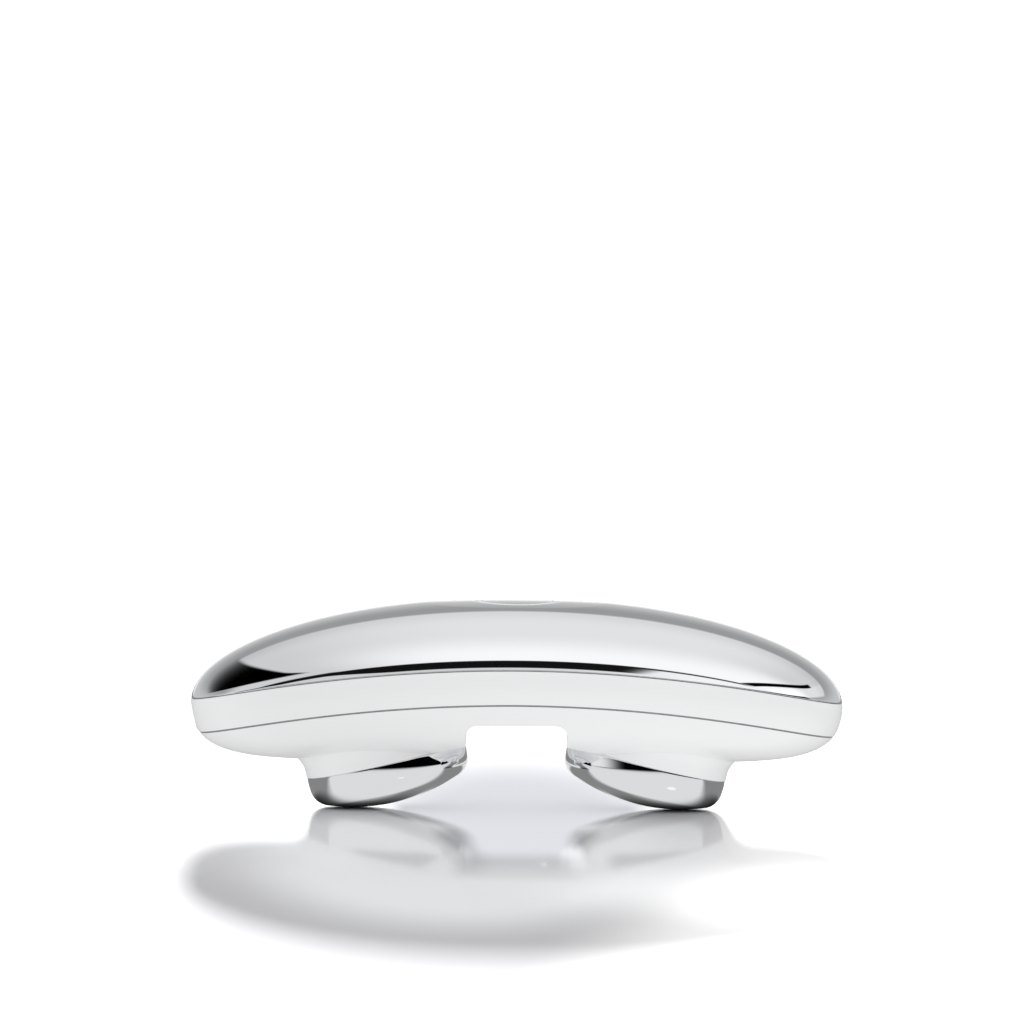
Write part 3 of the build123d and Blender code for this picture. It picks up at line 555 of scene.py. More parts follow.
print("light that shows as white:", round(light_of(SCREEN_WHITE), 3))

# %% The panel overhead
PANEL_TONE = 203
PANEL_LEFT, PANEL_RIGHT = (-0.77, -0.70), (2.3, 2.7)
PANEL_FRONT, PANEL_BACK = (-0.77, -0.71), (1.42, 1.62)
STRIP_LEFT, STRIP_RIGHT = 0.93, 1.12
world = bpy.data.worlds.new("studio")
bpy.context.scene.world = world
world.use_nodes = True
room = Paint(world.node_tree)
ray = room.node("ShaderNodeTexCoord", {}, out="Generated")
ray_x, ray_y, ray_z = room.split(ray)
HORIZON = 0.001
height = ray_z.math("MAXIMUM", ray_z, HORIZON)
across = ray_x / height
depth = ray_y / height

front_corner = 0.16 * (1 - depth.step(-0.75, -0.20))
past_left = (across - front_corner).step(*PANEL_LEFT)
panel = past_left * (1 - across.step(*PANEL_RIGHT)) * depth.step(*PANEL_FRONT)
panel = panel * (1 - depth.step(*PANEL_BACK))
back_right = across.step(0.3, 1.0) * depth.step(-0.1, 0.3)
middle_glow = across.step(-0.6, 0.0) * (1 - 0.85 * back_right)
front_glow = across.step(-0.7, -0.1) * (1 - depth.step(-0.45, 0.35))
panel_shade = PANEL_TONE + 22 * middle_glow + 24 * front_glow
panel_shade = panel_shade - 12 * depth.step(0.7, 1.4) + 16 * across.step(1.25, 1.5)
strip_place = across - 0.30 * depth.step(-0.7, 0.6)
strip = strip_place.band(STRIP_LEFT, STRIP_RIGHT, 0.03) * depth.band(-0.75, 0.70, 0.08)
panel_shade = panel_shade * (1 - 0.97 * strip)
print("nodes for the panel:", len(world.node_tree.nodes))

# %% The walls
WALL_TONE = 150
FRONT_TONE = 205
wall_shade = WALL_TONE + 40 * (1 - ray_z.step(0.12, 0.45))
wall_shade = wall_shade + 50 * (1 - ray_z.step(0.03, 0.16)) * (1 - abs(ray_x).step(0.20, 0.45))
front_shade = FRONT_TONE + 38 * ray_x.step(-0.1, 0.45) * ray_z.step(0.32, 0.50)
front_shade = front_shade + 20 * (1 - ray_z.step(0.17, 0.25))
print("nodes with the walls:", len(world.node_tree.nodes))

# %% The black gap in front of the panel
GAP_END = (0.26, 0.44)
gap_low = -0.94 - 0.30 * across.step(-0.75, -0.35)
gap = (depth - gap_low).step(-0.04, 0.04) * (1 - depth.step(-0.76, -0.68))
gap = gap * (1 - across.step(*GAP_END))
thin_gap = across.step(*GAP_END) * (1 - across.step(0.9, 1.2)) * depth.band(-0.83, -0.72, 0.03)
front_shade = front_shade * (1 - 0.88 * gap - 0.80 * thin_gap)
print("nodes with the gap:", len(world.node_tree.nodes))

# %% The whole room
leftwards = -0.7 - across
left_limit = 0.2 * leftwards + 0.35 * leftwards * leftwards - 0.45
left_zone = (1 - past_left) * (depth - left_limit).step(-0.06, 0.06)
left_shade = wall_shade * depth.step(0.1, 2.1)
shade = front_shade + (wall_shade - front_shade) * ray_y.step(-0.15, 0.15)
shade = shade + (left_shade - shade) * left_zone
shade = shade + (panel_shade - shade) * panel
in_front = 1 - ray_y.step(-0.06, 0.04)
low_front = in_front * (1 - ray_z.step(0.36, 0.42)) * ray_x.step(-0.95, -0.42)
shade = shade * (1 - 0.98 * low_front)
print("nodes for the room:", len(world.node_tree.nodes))

# %% Which ray sees what
EVEN_LIGHT = 0.98
mirror_light = room.node("ShaderNodeBackground", {}, WHITE, light_of(shade))
plain_light = room.node("ShaderNodeBackground", {}, WHITE, EVEN_LIGHT)
camera_light = room.node("ShaderNodeBackground", {}, WHITE, 1.0)
is_camera = room.node("ShaderNodeLightPath", {}, out="Is Camera Ray")
is_mirror = room.node("ShaderNodeLightPath", {}, out="Is Glossy Ray")
others = room.node("ShaderNodeMixShader", {}, is_mirror, plain_light, mirror_light)
whole = room.node("ShaderNodeMixShader", {}, is_camera, others, camera_light)
room.output("ShaderNodeOutputWorld", whole)
bpy.context.scene.view_settings.view_transform = "Standard"
print("studio ready")

# %% [markdown]
# ## The table
# The table is white acrylic: it shows a soft shadow and, seen at three degrees, a pale mirror
# image of what stands on it. It is wide enough to reach past the top of the picture, so there
# is no horizon. It is drawn three times over, once for each kind of ray. To the camera it is a
# grey sheet under a strong low lamp, which makes it white where the lamp reaches and leaves the
# shadow grey. Painted light makes the middle of that shadow and its right end paler, and painted
# shade greys a strip of the table between the domes, in front of the device and behind it. To
# the plated pieces it glows with a painted tone: painted shade under the device and near the two
# points it stands on, darker far in front, and two painted highlights. To the light that spreads
# it glows plain white, so the underside of the device is lit as evenly as on a light table.
#
# Places on the table are in millimetres from its middle: right, aside to either side, and away
# from the camera.

# %% The sheet and the places on it
TABLE_SIZE = 80.0
TABLE_DROP = 0.05 * MM
bpy.ops.object.select_all(action="DESELECT")
bpy.ops.mesh.primitive_plane_add(size=TABLE_SIZE, location=(0, 0, -TABLE_DROP))
floor = bpy.context.object
floor.name = "floor"
acrylic = bpy.data.materials.new("white_acrylic")
acrylic.use_nodes = True
sheet = Paint(acrylic.node_tree)
place = sheet.node("ShaderNodeTexCoord", {}, out="Object")
floor_x, floor_y, _ = sheet.split(place)
right = floor_x / MM
aside = abs(right)
away = floor_y / MM
print("table width in metres:", round(floor.dimensions.x, 1))

# %% The table for the camera
SHADOW_TONE = (0.50, 0.50, 0.51)
# The next three tones are painted: two paler ones for painted light and a darker one for painted
# shade.
PAINTED_LIGHT_TONE = (0.77, 0.775, 0.79)
PAINTED_FADE_TONE = (0.98, 0.98, 0.98)
PAINTED_SHADE_TONE = (0.245, 0.25, 0.265)
POLISH_COLOUR = (0.98, 0.98, 1.0, 1)
# Painted shade: a strip of the table between the domes, in front of the device and behind it, gets
# a darker base colour.
half_strip = 9 + 4 * away.step(-110, -60) + 10 * away.step(-50, -12)
shade_strip_front = (1 - (aside - half_strip).step(-2, 4)) * away.step(-172, -118)
shade_strip_back = 1 - distance(aside / 46, away / 185).step(0.30, 1.0)
painted_shade_strip = shade_strip_front + (shade_strip_back - shade_strip_front) * away.step(-2, 14)
# Painted light: the middle of the shadow in front of the device gets a paler base colour.
painted_light_middle = 1 - distance((right + 9) / 42, (away + 105) / 160).step(0.70, 1.15)
# Painted light: the right end of the shadow fades to white through a near-white base colour.
painted_light_right = (right - 35.6 - 0.0885 * away).step(-8, 26)
table_tone = sheet.blend(painted_light_middle, SHADOW_TONE, PAINTED_LIGHT_TONE)
table_tone = sheet.blend(painted_light_right, table_tone, PAINTED_FADE_TONE)
table_tone = sheet.blend(painted_shade_strip, table_tone, PAINTED_SHADE_TONE)
body_colour = sheet.node("ShaderNodeBsdfDiffuse", {}, table_tone)
polish = sheet.node("ShaderNodeBsdfGlossy", {}, Color=POLISH_COLOUR, Roughness=0.06)
polish_share = 0.06 + 0.24 * away.step(-190, -115)
seen = sheet.node("ShaderNodeMixShader", {}, polish_share, body_colour, polish)
print("nodes for the camera:", len(acrylic.node_tree.nodes))

# %% The table in the plated pieces
TABLE_TONE = 218
CONTACT_ASIDE = 31.5
PAINTED_HIGHLIGHTS = ((-14, -34, 3.5), (35.5, -21.5, 3.0))
# Painted shade: for the plated pieces the table is darker under the device and round the two points
# it stands on, and lighter again in places just behind them.
shaded = away.step(-11, -6)
lit_behind = away.step(2, 8) * aside.band(16, 35, 3)
lit_behind = lit_behind + away.step(18, 32) * (1 - aside.step(12, 16))
painted_contact_shade = 1 - distance((aside - CONTACT_ASIDE) / 16, away / 13).step(0.15, 1.0)
floor_shade = TABLE_TONE - (88 * shaded + 118 * painted_contact_shade) * (1 - lit_behind)
# Painted shade: the table is darker far in front of the device.
floor_shade = floor_shade - 110 * (1 - away.step(-520, -50))
# Painted highlights: two small bright spots on the table.
for spot_x, spot_y, spot_radius in PAINTED_HIGHLIGHTS:
    spot = 1 - distance(right - spot_x, away - spot_y).step(0.3 * spot_radius, spot_radius)
    floor_shade = floor_shade + 30 * spot
# The table glows with this painted tone for mirror rays.
mirrored = sheet.node("ShaderNodeEmission", {}, WHITE, light_of(floor_shade))
print("nodes with the plated pieces:", len(acrylic.node_tree.nodes))

# %% Which ray sees which table
# Painted light: for rays that spread, the table glows white and lights the device from below.
GLOW = 1.10
glow = sheet.node("ShaderNodeEmission", {}, WHITE, GLOW)
is_spread = sheet.node("ShaderNodeLightPath", {}, out="Is Diffuse Ray")
is_mirrored = sheet.node("ShaderNodeLightPath", {}, out="Is Glossy Ray")
face = sheet.node("ShaderNodeMixShader", {}, is_spread, seen, glow)
face = sheet.node("ShaderNodeMixShader", {}, is_mirrored, face, mirrored)
sheet.output("ShaderNodeOutputMaterial", face)
floor.data.materials.append(acrylic)
print("nodes for the table:", len(acrylic.node_tree.nodes))

# %% [markdown]
# ## The lamps
# Two lamps light the table only. A low sun behind the device throws the long soft shadow that
# comes towards the camera, and a soft spot on the right lets that end of the shadow fade away.
# Both are kept out of the polish, so the table shows no hot spot.

# %% A lamp for the table only
only_table = bpy.data.collections.new("lit_by_table_light")
only_table.objects.link(floor)


def table_lamp(name, kind, energy):
    light = bpy.data.lights.new(name, kind)
    light.energy = energy
    lamp = bpy.data.objects.new(name, light)
    bpy.context.scene.collection.objects.link(lamp)
    lamp.light_linking.receiver_collection = only_table
    lamp.visible_glossy = False
    return lamp


# %% The low sun and the fill
SUN_HEIGHT = math.radians(6.8)
sun = table_lamp("table_light", "SUN", 56.0)
sun.data.angle = math.radians(2.8)
toward = Vector((0.012, -1.0, -math.tan(SUN_HEIGHT)))
sun.rotation_euler = toward.to_track_quat("-Z", "Y").to_euler()
fill = table_lamp("fill_light", "SPOT", 0.95)
fill.data.spot_size = math.radians(62)
fill.data.spot_blend = 1.0
fill.data.use_shadow = False
fill.location = (96 * MM, -188 * MM, 170 * MM)
print("lamps:", sun.name, fill.name)

# %% [markdown]
# ## Finishes
# Every finish is worked out from the place on the piece in millimetres, so it needs no image
# and no unwrapping, and it rides with the piece when it moves. A few short helpers carry all of
# them: one starts a finish, others make noise and cells of a given size, one joins the results
# to a Principled shader with a relief as fine as the real surface has, and one dresses pieces.


# %% Helpers for finishes
def begin(name):
    """A new material with an empty network."""
    material = bpy.data.materials.new(name)
    material.use_nodes = True
    paint = Paint(material.node_tree)
    paint.material = material
    return paint


def millimetres(paint):
    """The place on the piece, in millimetres."""
    place = paint.node("ShaderNodeTexCoord", {}, out="Object")
    return paint.node("ShaderNodeVectorMath", {"operation": "SCALE"}, place, Scale=1 / MM)


def stretched(paint, place, x, y, z):
    """Draws a pattern out or presses it together along the axes."""
    return paint.node("ShaderNodeVectorMath", {"operation": "MULTIPLY"}, place, (x, y, z))


def noise(paint, place, size, detail=2.0):
    """Soft noise between 0 and 1 with grains of one size in millimetres."""
    return paint.node("ShaderNodeTexNoise", {}, place, Scale=1 / size, Detail=detail)


def cells(paint, place, size):
    """Distance from the middle of the nearest of many random cells."""
    return paint.node("ShaderNodeTexVoronoi", {}, place, Scale=1 / size)


def upright(paint):
    """1 where the surface faces up or down and 0 where it faces sideways."""
    normal = paint.node("ShaderNodeTexCoord", {}, out="Normal")
    return abs(paint.split(normal)[2]).step(0.6, 0.8)


def complete(paint, relief=None, depth=0.0, **sockets):
    """Joins the finish to a Principled shader. The relief runs from 0 to 1, depth is in mm."""
    if relief is not None:
        sockets["Normal"] = paint.node(
            "ShaderNodeBump", {}, Strength=1.0, Distance=depth * MM, Height=relief
        )
    face = paint.node("ShaderNodeBsdfPrincipled", {}, **sockets)
    paint.output("ShaderNodeOutputMaterial", face)
    return paint.material


def dress(material, *names):
    """Gives a material to pieces, in place of what they had."""
    for name in names:
        piece = nodes[name] if name in nodes else bpy.data.objects[name]
        piece.data.materials.clear()
        piece.data.materials.append(material)
    print(material.name, "on", ", ".join(names))


print("helpers for finishes ready")

# %% [markdown]
# ### Bright plating
# The cover, the domes and the button are plated over a polished moulding. Chrome is a little
# bluer than silver and returns about nine tenths of the light. A real one is never quite even:
# the polish changes slowly over some millimetres and the finest wiping marks run along the body,
# so the roughness moves between two low values and the image in it stays sharp.

# %% Plating
paint = begin("bright_plating")
place = millimetres(paint)
polish_change = noise(paint, place, 9.0, 3.0)
wiping = noise(paint, stretched(paint, place, 0.12, 1.0, 1.0), 0.22, 2.0)
plating_tone = paint.blend(polish_change, (0.915, 0.926, 0.946), (0.928, 0.938, 0.954))
plating = complete(
    paint,
    Base_Color=plating_tone,
    Metallic=1.0,
    Roughness=0.012 + 0.016 * polish_change + 0.012 * wiping,
)
dress(plating, "top_cover", "electrode_left", "electrode_right", "power_button")
dress(plating, cover.name, domes[0].name, domes[1].name)

# %% [markdown]
# ### White moulded plastic
# The band and the lower housing are ABS moulded in white. The mould was blasted to a satin, so
# the skin has a grain of about a fifth of a millimetre and a few thousandths deep. The colour
# carries faint flow clouds, and the gloss is a little lower where the plastic froze first.

# %% White plastic
paint = begin("satin_white_plastic")
place = millimetres(paint)
grain = noise(paint, place, 0.20, 3.0)
clouds = noise(paint, stretched(paint, place, 0.5, 1.0, 1.0), 7.0, 2.0)
white_tone = paint.blend(clouds, (0.872, 0.876, 0.884), (0.886, 0.889, 0.895))
white_plastic = complete(
    paint,
    relief=grain,
    depth=0.004,
    Base_Color=white_tone,
    Roughness=0.30 + 0.08 * clouds + 0.05 * grain,
    Coat_Weight=0.10,
    Coat_Roughness=0.12,
)
dress(white_plastic, "mid_band", "bottom_housing")

# %% [markdown]
# ### Gaskets and seals
# The two gaskets of the case are soft grey silicone, cut with a faint skin grain and dusted with
# a filler that shows as lighter specks. The seals behind the domes and round the charging port
# meet water, so they are black nitrile rubber, duller and with a bloom of wax. The pad under the
# button is clear silicone.


# %% Rubber
def rubber(name, dark, light, size, gloss):
    paint = begin(name)
    place = millimetres(paint)
    skin = noise(paint, place, size, 3.0)
    bloom = noise(paint, place, 3.2, 2.0)
    specks = 1 - cells(paint, place, 0.55).step(0.10, 0.22)
    tone = paint.blend(bloom * 0.7 + specks * 0.3, dark, light)
    return complete(
        paint,
        relief=skin + specks * 0.4,
        depth=0.010,
        Base_Color=tone,
        Roughness=gloss + 0.12 * bloom,
    )


grey_silicone = rubber("grey_silicone", (0.33, 0.33, 0.35), (0.50, 0.50, 0.52), 0.14, 0.50)
black_nitrile = rubber("black_nitrile", (0.018, 0.018, 0.019), (0.06, 0.06, 0.062), 0.10, 0.55)
clear_silicone = rubber("clear_silicone", (0.62, 0.63, 0.64), (0.78, 0.79, 0.80), 0.12, 0.36)
dress(grey_silicone, "cover_gasket", "housing_gasket")
dress(black_nitrile, "electrode_seals", "port_gasket")
dress(clear_silicone, "button_return_pad")

# %% [markdown]
# ### Frosted light ring
# The ring round the button is milky polycarbonate that spreads the light of the diodes under
# it. Frosting is a fine bumpy skin, and the milk in it settles in clouds.

# %% Light ring
paint = begin("frosted_diffuser")
place = millimetres(paint)
frost = cells(paint, place, 0.16)
milk = noise(paint, place, 2.4, 2.0)
complete(
    paint,
    relief=frost,
    depth=0.008,
    Base_Color=paint.blend(milk, (0.80, 0.82, 0.85), (0.90, 0.91, 0.93)),
    Roughness=0.46 + 0.14 * frost,
    IOR=1.58,
)
dress(paint.material, "light_ring")

# %% [markdown]
# ### Screws
# A screw head is stamped and its thread rolled, and both leave fine rings round the axis. The
# screws stand at mirrored places, so folding x and y over the middle brings them all to one
# axis, and one distance from it draws the rings. The screws of the charging port are all at one
# end, so for them only y is folded. Zinc plating adds a faint yellow and blue haze.


# %% Screws
def screw_steel(name, x, y, at_one_end=False):
    """x and y are the place of a screw's axis in millimetres."""
    paint = begin(name)
    place = millimetres(paint)
    here_x, here_y, here_z = paint.split(place)
    side_x = here_x - x if at_one_end else abs(here_x) - x
    radius = distance(side_x, abs(here_y) - y)
    rings = (radius * 16 + here_z * 7).sine() * 0.5 + 0.5
    haze = noise(paint, place, 0.9, 2.0)
    tone = paint.blend(haze, (0.60, 0.60, 0.56), (0.70, 0.72, 0.76))
    # Painted shade darkens the middle of each head.
    middle_shade = 1 - radius.step(0.0, 0.45)
    tone = paint.blend(middle_shade * 0.55, tone, (0.10, 0.10, 0.10))
    return complete(
        paint,
        relief=rings,
        depth=0.008,
        Base_Color=tone,
        Metallic=1.0,
        Roughness=0.24 + 0.16 * haze,
    )


print("screws ready")

# %% The three kinds of screw
HEAD_RADIUS = 1.9
SMALL_HEAD_RADIUS = 1.4
frame_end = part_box("chassis_screws")[1] / MM
board_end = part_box("board_screws")[1] / MM
port_start, port_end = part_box("port_screws")
port_x = (port_start[0] + port_end[0]) / 2 / MM
port_y = port_end[1] / MM - SMALL_HEAD_RADIUS
frame_screw = screw_steel(
    "screw_steel", frame_end[0] - HEAD_RADIUS, frame_end[1] - HEAD_RADIUS
)
board_screw = screw_steel(
    "small_screw_steel", board_end[0] - SMALL_HEAD_RADIUS, board_end[1] - SMALL_HEAD_RADIUS
)
port_screw = screw_steel("port_screw_steel", port_x, port_y, at_one_end=True)
dress(frame_screw, "chassis_screws")
dress(board_screw, "board_screws")
dress(port_screw, "port_screws")

# %% [markdown]
# ### Brushed and drawn metal
# The washers and nuts are bright steel with the marks of the brush, the shell of the charging
# port and the can of the motor are drawn sheet with lines along the draw, and the contact
# springs are copper alloy with a thin gold wash. One recipe serves for all: noise drawn out along
# one axis gives the lines, and a slower noise gives finger marks.


# %% Metals
LINE_SIZE = 0.12


def drawn_metal(name, dark, light, along, gloss):
    """along holds how much the lines are drawn out in x, y and z: the smaller, the longer."""
    paint = begin(name)
    place = millimetres(paint)
    lines = noise(paint, stretched(paint, place, *along), LINE_SIZE, 3.0)
    marks = noise(paint, place, 2.6, 2.0)
    return complete(
        paint,
        relief=lines,
        depth=0.005,
        Base_Color=paint.blend(lines * 0.6 + marks * 0.4, dark, light),
        Metallic=1.0,
        Roughness=gloss + 0.10 * marks + 0.08 * lines,
    )


steel_dark, steel_light = (0.52, 0.52, 0.53), (0.72, 0.72, 0.73)
gold_dark, gold_light = (0.72, 0.50, 0.22), (0.93, 0.72, 0.38)
shell_light = (0.78, 0.78, 0.79)
brushed_steel = drawn_metal("brushed_steel", steel_dark, steel_light, (1.0, 0.05, 1.0), 0.22)
drawn_steel = drawn_metal("drawn_steel_shell", steel_dark, shell_light, (0.04, 1.0, 1.0), 0.16)
gilding = drawn_metal("gilded_spring", gold_dark, gold_light, (0.06, 1.0, 0.5), 0.20)
dress(brushed_steel, "electrode_washers", "electrode_nuts")
dress(drawn_steel, "port_shell")
dress(gilding, "contact_spring_left", "contact_spring_right")

# %% The motor's can
motor_low, motor_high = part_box("feedback_motor")
motor_middle = (motor_low[0] + motor_high[0]) / 2 / MM
motor_foot = motor_low[2] / MM
paint = begin("motor_can")
place = millimetres(paint)
here_x, here_y, here_z = paint.split(place)
radius = distance(here_x - motor_middle, here_y)
turning = (radius * 21).sine() * 0.5 + 0.5
marks = noise(paint, place, 1.8, 2.0)
seam = here_z.band(motor_foot + 0.55, motor_foot + 0.70, 0.02)
punch = radius.band(0.5, 0.75, 0.04) + radius.band(2.9, 3.05, 0.04)
tone = paint.blend(marks, (0.56, 0.56, 0.55), (0.74, 0.74, 0.73))
# The seam is a dark joint; the punched rings on the end faces are darkened with painted shade.
tone = paint.blend((seam + punch * upright(paint)) * 0.8, tone, (0.08, 0.08, 0.08))
complete(
    paint,
    relief=turning * 0.3 - seam - punch,
    depth=0.02,
    Base_Color=tone,
    Metallic=0.95,
    Roughness=0.22 + 0.14 * marks,
)
dress(paint.material, "feedback_motor")

# %% [markdown]
# ### Circuit boards
# A board is woven glass in resin, copper tracks under a green mask, and tinned vias. The tracks
# follow a grid: noise decides for each field whether its tracks run along or across the board,
# and a second noise leaves some of them out. The cut edge shows the pale laminate in layers.


# %% Boards
WEAVE_PITCH = 0.4
LAYER_THICKNESS = 0.3


def circuit_board(name, mask, pitch):
    """The mask's colour, and the distance from one track to the next in millimetres."""
    paint = begin(name)
    place = millimetres(paint)
    here_x, here_y, here_z = paint.split(place)
    level = stretched(paint, place, 1.0, 1.0, 0.0)
    field = noise(paint, level, 5.0, 0.0).step(0.49, 0.51)
    across_line = here_y.wave(pitch).band(0.30, 0.62, 0.05)
    along_line = here_x.wave(pitch).band(0.30, 0.62, 0.05)
    kept = noise(paint, level, 2.6, 0.0).step(0.47, 0.50)
    track = (across_line * field + along_line * (1 - field)) * kept
    via_pitch = pitch * 3
    via_radius = distance(here_x.wave(via_pitch) - 0.5, here_y.wave(via_pitch) - 0.5) * via_pitch
    pad = (1 - via_radius.step(0.26, 0.31)) * (1 - kept)
    hole = 1 - via_radius.step(0.11, 0.15)
    weave = (here_x.wave(WEAVE_PITCH) - 0.5) * (here_y.wave(WEAVE_PITCH) - 0.5) * 4
    flat = upright(paint)
    lit_mask = tuple(min(1.0, part * 1.9 + 0.02) for part in mask)
    surface = paint.blend(track, mask, lit_mask)
    surface = paint.blend(pad, surface, (0.72, 0.71, 0.68))
    # Painted shade: the hole in each via is painted black.
    surface = paint.blend(pad * hole, surface, (0.02, 0.02, 0.02))
    layers = here_z.wave(LAYER_THICKNESS).band(0.25, 0.75, 0.12)
    cut_edge = paint.blend(layers, (0.46, 0.42, 0.27), (0.62, 0.58, 0.41))
    return complete(
        paint,
        relief=(track * 0.5 + pad) * flat + weave * 0.08,
        depth=0.03,
        Base_Color=paint.blend(flat, cut_edge, surface),
        Metallic=pad * flat * (1 - hole),
        Roughness=0.30 + 0.25 * (1 - flat) + 0.06 * kept,
    )


dress(circuit_board("green_board", (0.012, 0.10, 0.05), 0.8), "main_board")
dress(circuit_board("black_board", (0.014, 0.016, 0.02), 0.7), "port_board")

# %% [markdown]
# ### Chips, capacitors, diodes and the transformer
# Moulded chips are black epoxy with a fine sparkle of filler and a dimple at pin one. The
# controller is a module: a board with a tinned shield can over it, whose rim is crimped in
# places. Capacitors are aluminium cans in a dark sleeve with a stripe that marks the negative
# side. A diode is a white cup with yellow phosphor. The transformer is copper wire wound
# between two ferrite flanges, and the wire shows as close rings.

# %% The charge chip
PIN_MARK_INSET = 0.7
LEG_PITCH = 0.5
chip_low, chip_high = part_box("charge_chip")
board_face = chip_low[2] / MM
paint = begin("black_epoxy")
place = millimetres(paint)
here_x, here_y, here_z = paint.split(place)
over_board = here_z - board_face
pin_x = here_x - (chip_low[0] / MM + PIN_MARK_INSET)
pin_y = here_y - (chip_high[1] / MM - PIN_MARK_INSET)
pin_mark = 1 - distance(pin_x, pin_y).step(0.20, 0.26)
sparkle = noise(paint, place, 0.06, 1.0)
legs = here_x.wave(LEG_PITCH).band(0.3, 0.7, 0.04) * (1 - over_board.step(0.20, 0.27))
epoxy = paint.blend(sparkle, (0.012, 0.012, 0.013), (0.05, 0.05, 0.052))
complete(
    paint,
    relief=sparkle * 0.2 - pin_mark,
    depth=0.04,
    Base_Color=paint.blend(legs * (1 - upright(paint)), epoxy, (0.70, 0.69, 0.66)),
    Roughness=0.42 + 0.16 * sparkle,
)
dress(paint.material, "charge_chip")

# %% The controller
CRIMP_PITCH = 2.2
ANTENNA_PITCH = 1.6
module_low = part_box("controller_module")[0] / MM
paint = begin("shielded_module")
place = millimetres(paint)
here_x, here_y, here_z = paint.split(place)
can = (here_z - module_low[2]).step(0.87, 0.91)
brushed = noise(paint, stretched(paint, place, 0.06, 1.0, 1.0), 0.12, 2.0)
crimp = here_y.wave(CRIMP_PITCH).band(0.40, 0.60, 0.03) * (1 - upright(paint)) * can
antenna = 1 - (here_x - module_low[0]).step(1.2, 1.3)
meander = here_y.wave(ANTENNA_PITCH).band(0.25, 0.5, 0.03) * antenna
base_tone = paint.blend(meander, (0.010, 0.03, 0.09), (0.66, 0.50, 0.24))
can_tone = paint.blend(brushed, (0.60, 0.60, 0.60), (0.78, 0.78, 0.77))
# Painted shade darkens the crimped dents in the rim of the can.
can_tone = paint.blend(crimp, can_tone, (0.16, 0.16, 0.16))
complete(
    paint,
    relief=brushed * 0.3 - crimp,
    depth=0.03,
    Base_Color=paint.blend(can, base_tone, can_tone),
    Metallic=can,
    Roughness=0.28 + 0.14 * brushed,
)
dress(paint.material, "controller_module")

# %% Capacitors
CAN_PITCH = 4.5
can_low, can_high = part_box("board_capacitors")
can_radius = (can_high[1] - can_low[1]) / 2 / MM
can_top = can_high[2] / MM
paint = begin("capacitor_cans")
place = millimetres(paint)
here_x, here_y, here_z = paint.split(place)
start = can_low[0] / MM + can_radius - CAN_PITCH / 2
side_x = ((here_x - start).wave(CAN_PITCH) - 0.5) * CAN_PITCH
side_y = here_y - (can_low[1] + can_high[1]) / 2 / MM
top_face = here_z.step(can_top - 0.35, can_top - 0.25)
scored = 1 - abs(side_x).step(0.05, 0.10)
scored = scored * (1 - distance(side_x, side_y).step(0.95, 1.05)) * top_face
stripe = (0 - side_y).step(1.15, 1.25) * (1 - top_face)
grain = noise(paint, place, 0.25, 2.0)
sleeve = paint.blend(grain, (0.012, 0.016, 0.03), (0.03, 0.036, 0.055))
sleeve = paint.blend(stripe, sleeve, (0.52, 0.53, 0.55))
lid = paint.blend(grain, (0.70, 0.70, 0.71), (0.80, 0.80, 0.81))
# Painted shade darkens the scored lines in the lid.
lid = paint.blend(scored, lid, (0.30, 0.30, 0.30))
complete(
    paint,
    relief=grain * 0.15 - scored,
    depth=0.05,
    Base_Color=paint.blend(top_face, sleeve, lid),
    Metallic=top_face,
    Roughness=0.30 + 0.12 * grain,
)
dress(paint.material, "board_capacitors")

# %% Diodes
LED_CIRCLE_RADIUS = 7.65
led_place = LED_CIRCLE_RADIUS / math.sqrt(2)
led_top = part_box("indicator_leds")[1][2] / MM
paint = begin("phosphor_diodes")
place = millimetres(paint)
here_x, here_y, here_z = paint.split(place)
radius = distance(abs(here_x) - led_place, abs(here_y) - led_place)
phosphor = (1 - radius.step(0.36, 0.42)) * here_z.step(led_top - 0.1, led_top - 0.06)
crystals = noise(paint, place, 0.05, 1.0)
cup = paint.blend(crystals, (0.80, 0.80, 0.78), (0.88, 0.88, 0.86))
complete(
    paint,
    relief=crystals,
    depth=0.006,
    Base_Color=paint.blend(phosphor, cup, (0.90, 0.66, 0.10)),
    Roughness=0.38 + 0.16 * crystals,
)
dress(paint.material, "indicator_leds")

# %% The transformer
LOWER_FLANGE, UPPER_FLANGE = 0.9, 0.8
WIRE_PITCH = 0.22
coil_low, coil_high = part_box("pulse_transformer")
coil_height = (coil_high[2] - coil_low[2]) / MM
paint = begin("wound_transformer")
place = millimetres(paint)
from_foot = paint.split(place)[2] - coil_low[2] / MM
winding = from_foot.band(LOWER_FLANGE, coil_height - UPPER_FLANGE, 0.02)
wire = from_foot.wave(WIRE_PITCH)
wire_round = (wire * (1 - wire) * 4) ** 0.5
varnish = noise(paint, place, 0.8, 2.0)
copper = paint.blend(varnish, (0.42, 0.13, 0.035), (0.72, 0.30, 0.10))
pores = cells(paint, place, 0.30).step(0.1, 0.5)
ferrite = paint.blend(pores, (0.015, 0.015, 0.017), (0.055, 0.055, 0.06))
complete(
    paint,
    relief=wire_round * winding + pores * 0.2 * (1 - winding),
    depth=0.08,
    Base_Color=paint.blend(winding, ferrite, copper),
    Metallic=winding * 0.8,
    Roughness=0.52 - 0.24 * winding + 0.10 * varnish,
)
dress(paint.material, "pulse_transformer")

# %% [markdown]
# ### Battery, leads and foam
# A pouch cell is laminated foil: soft creases a few millimetres long catch the light, and the
# sealed end with the leads is wrapped in amber tape. Under it lies a pad of foam with open
# pores, and the motor sits on a thinner pad of the same. The two leads are insulated wires, red
# on one side and black on the other, with a slight bloom.

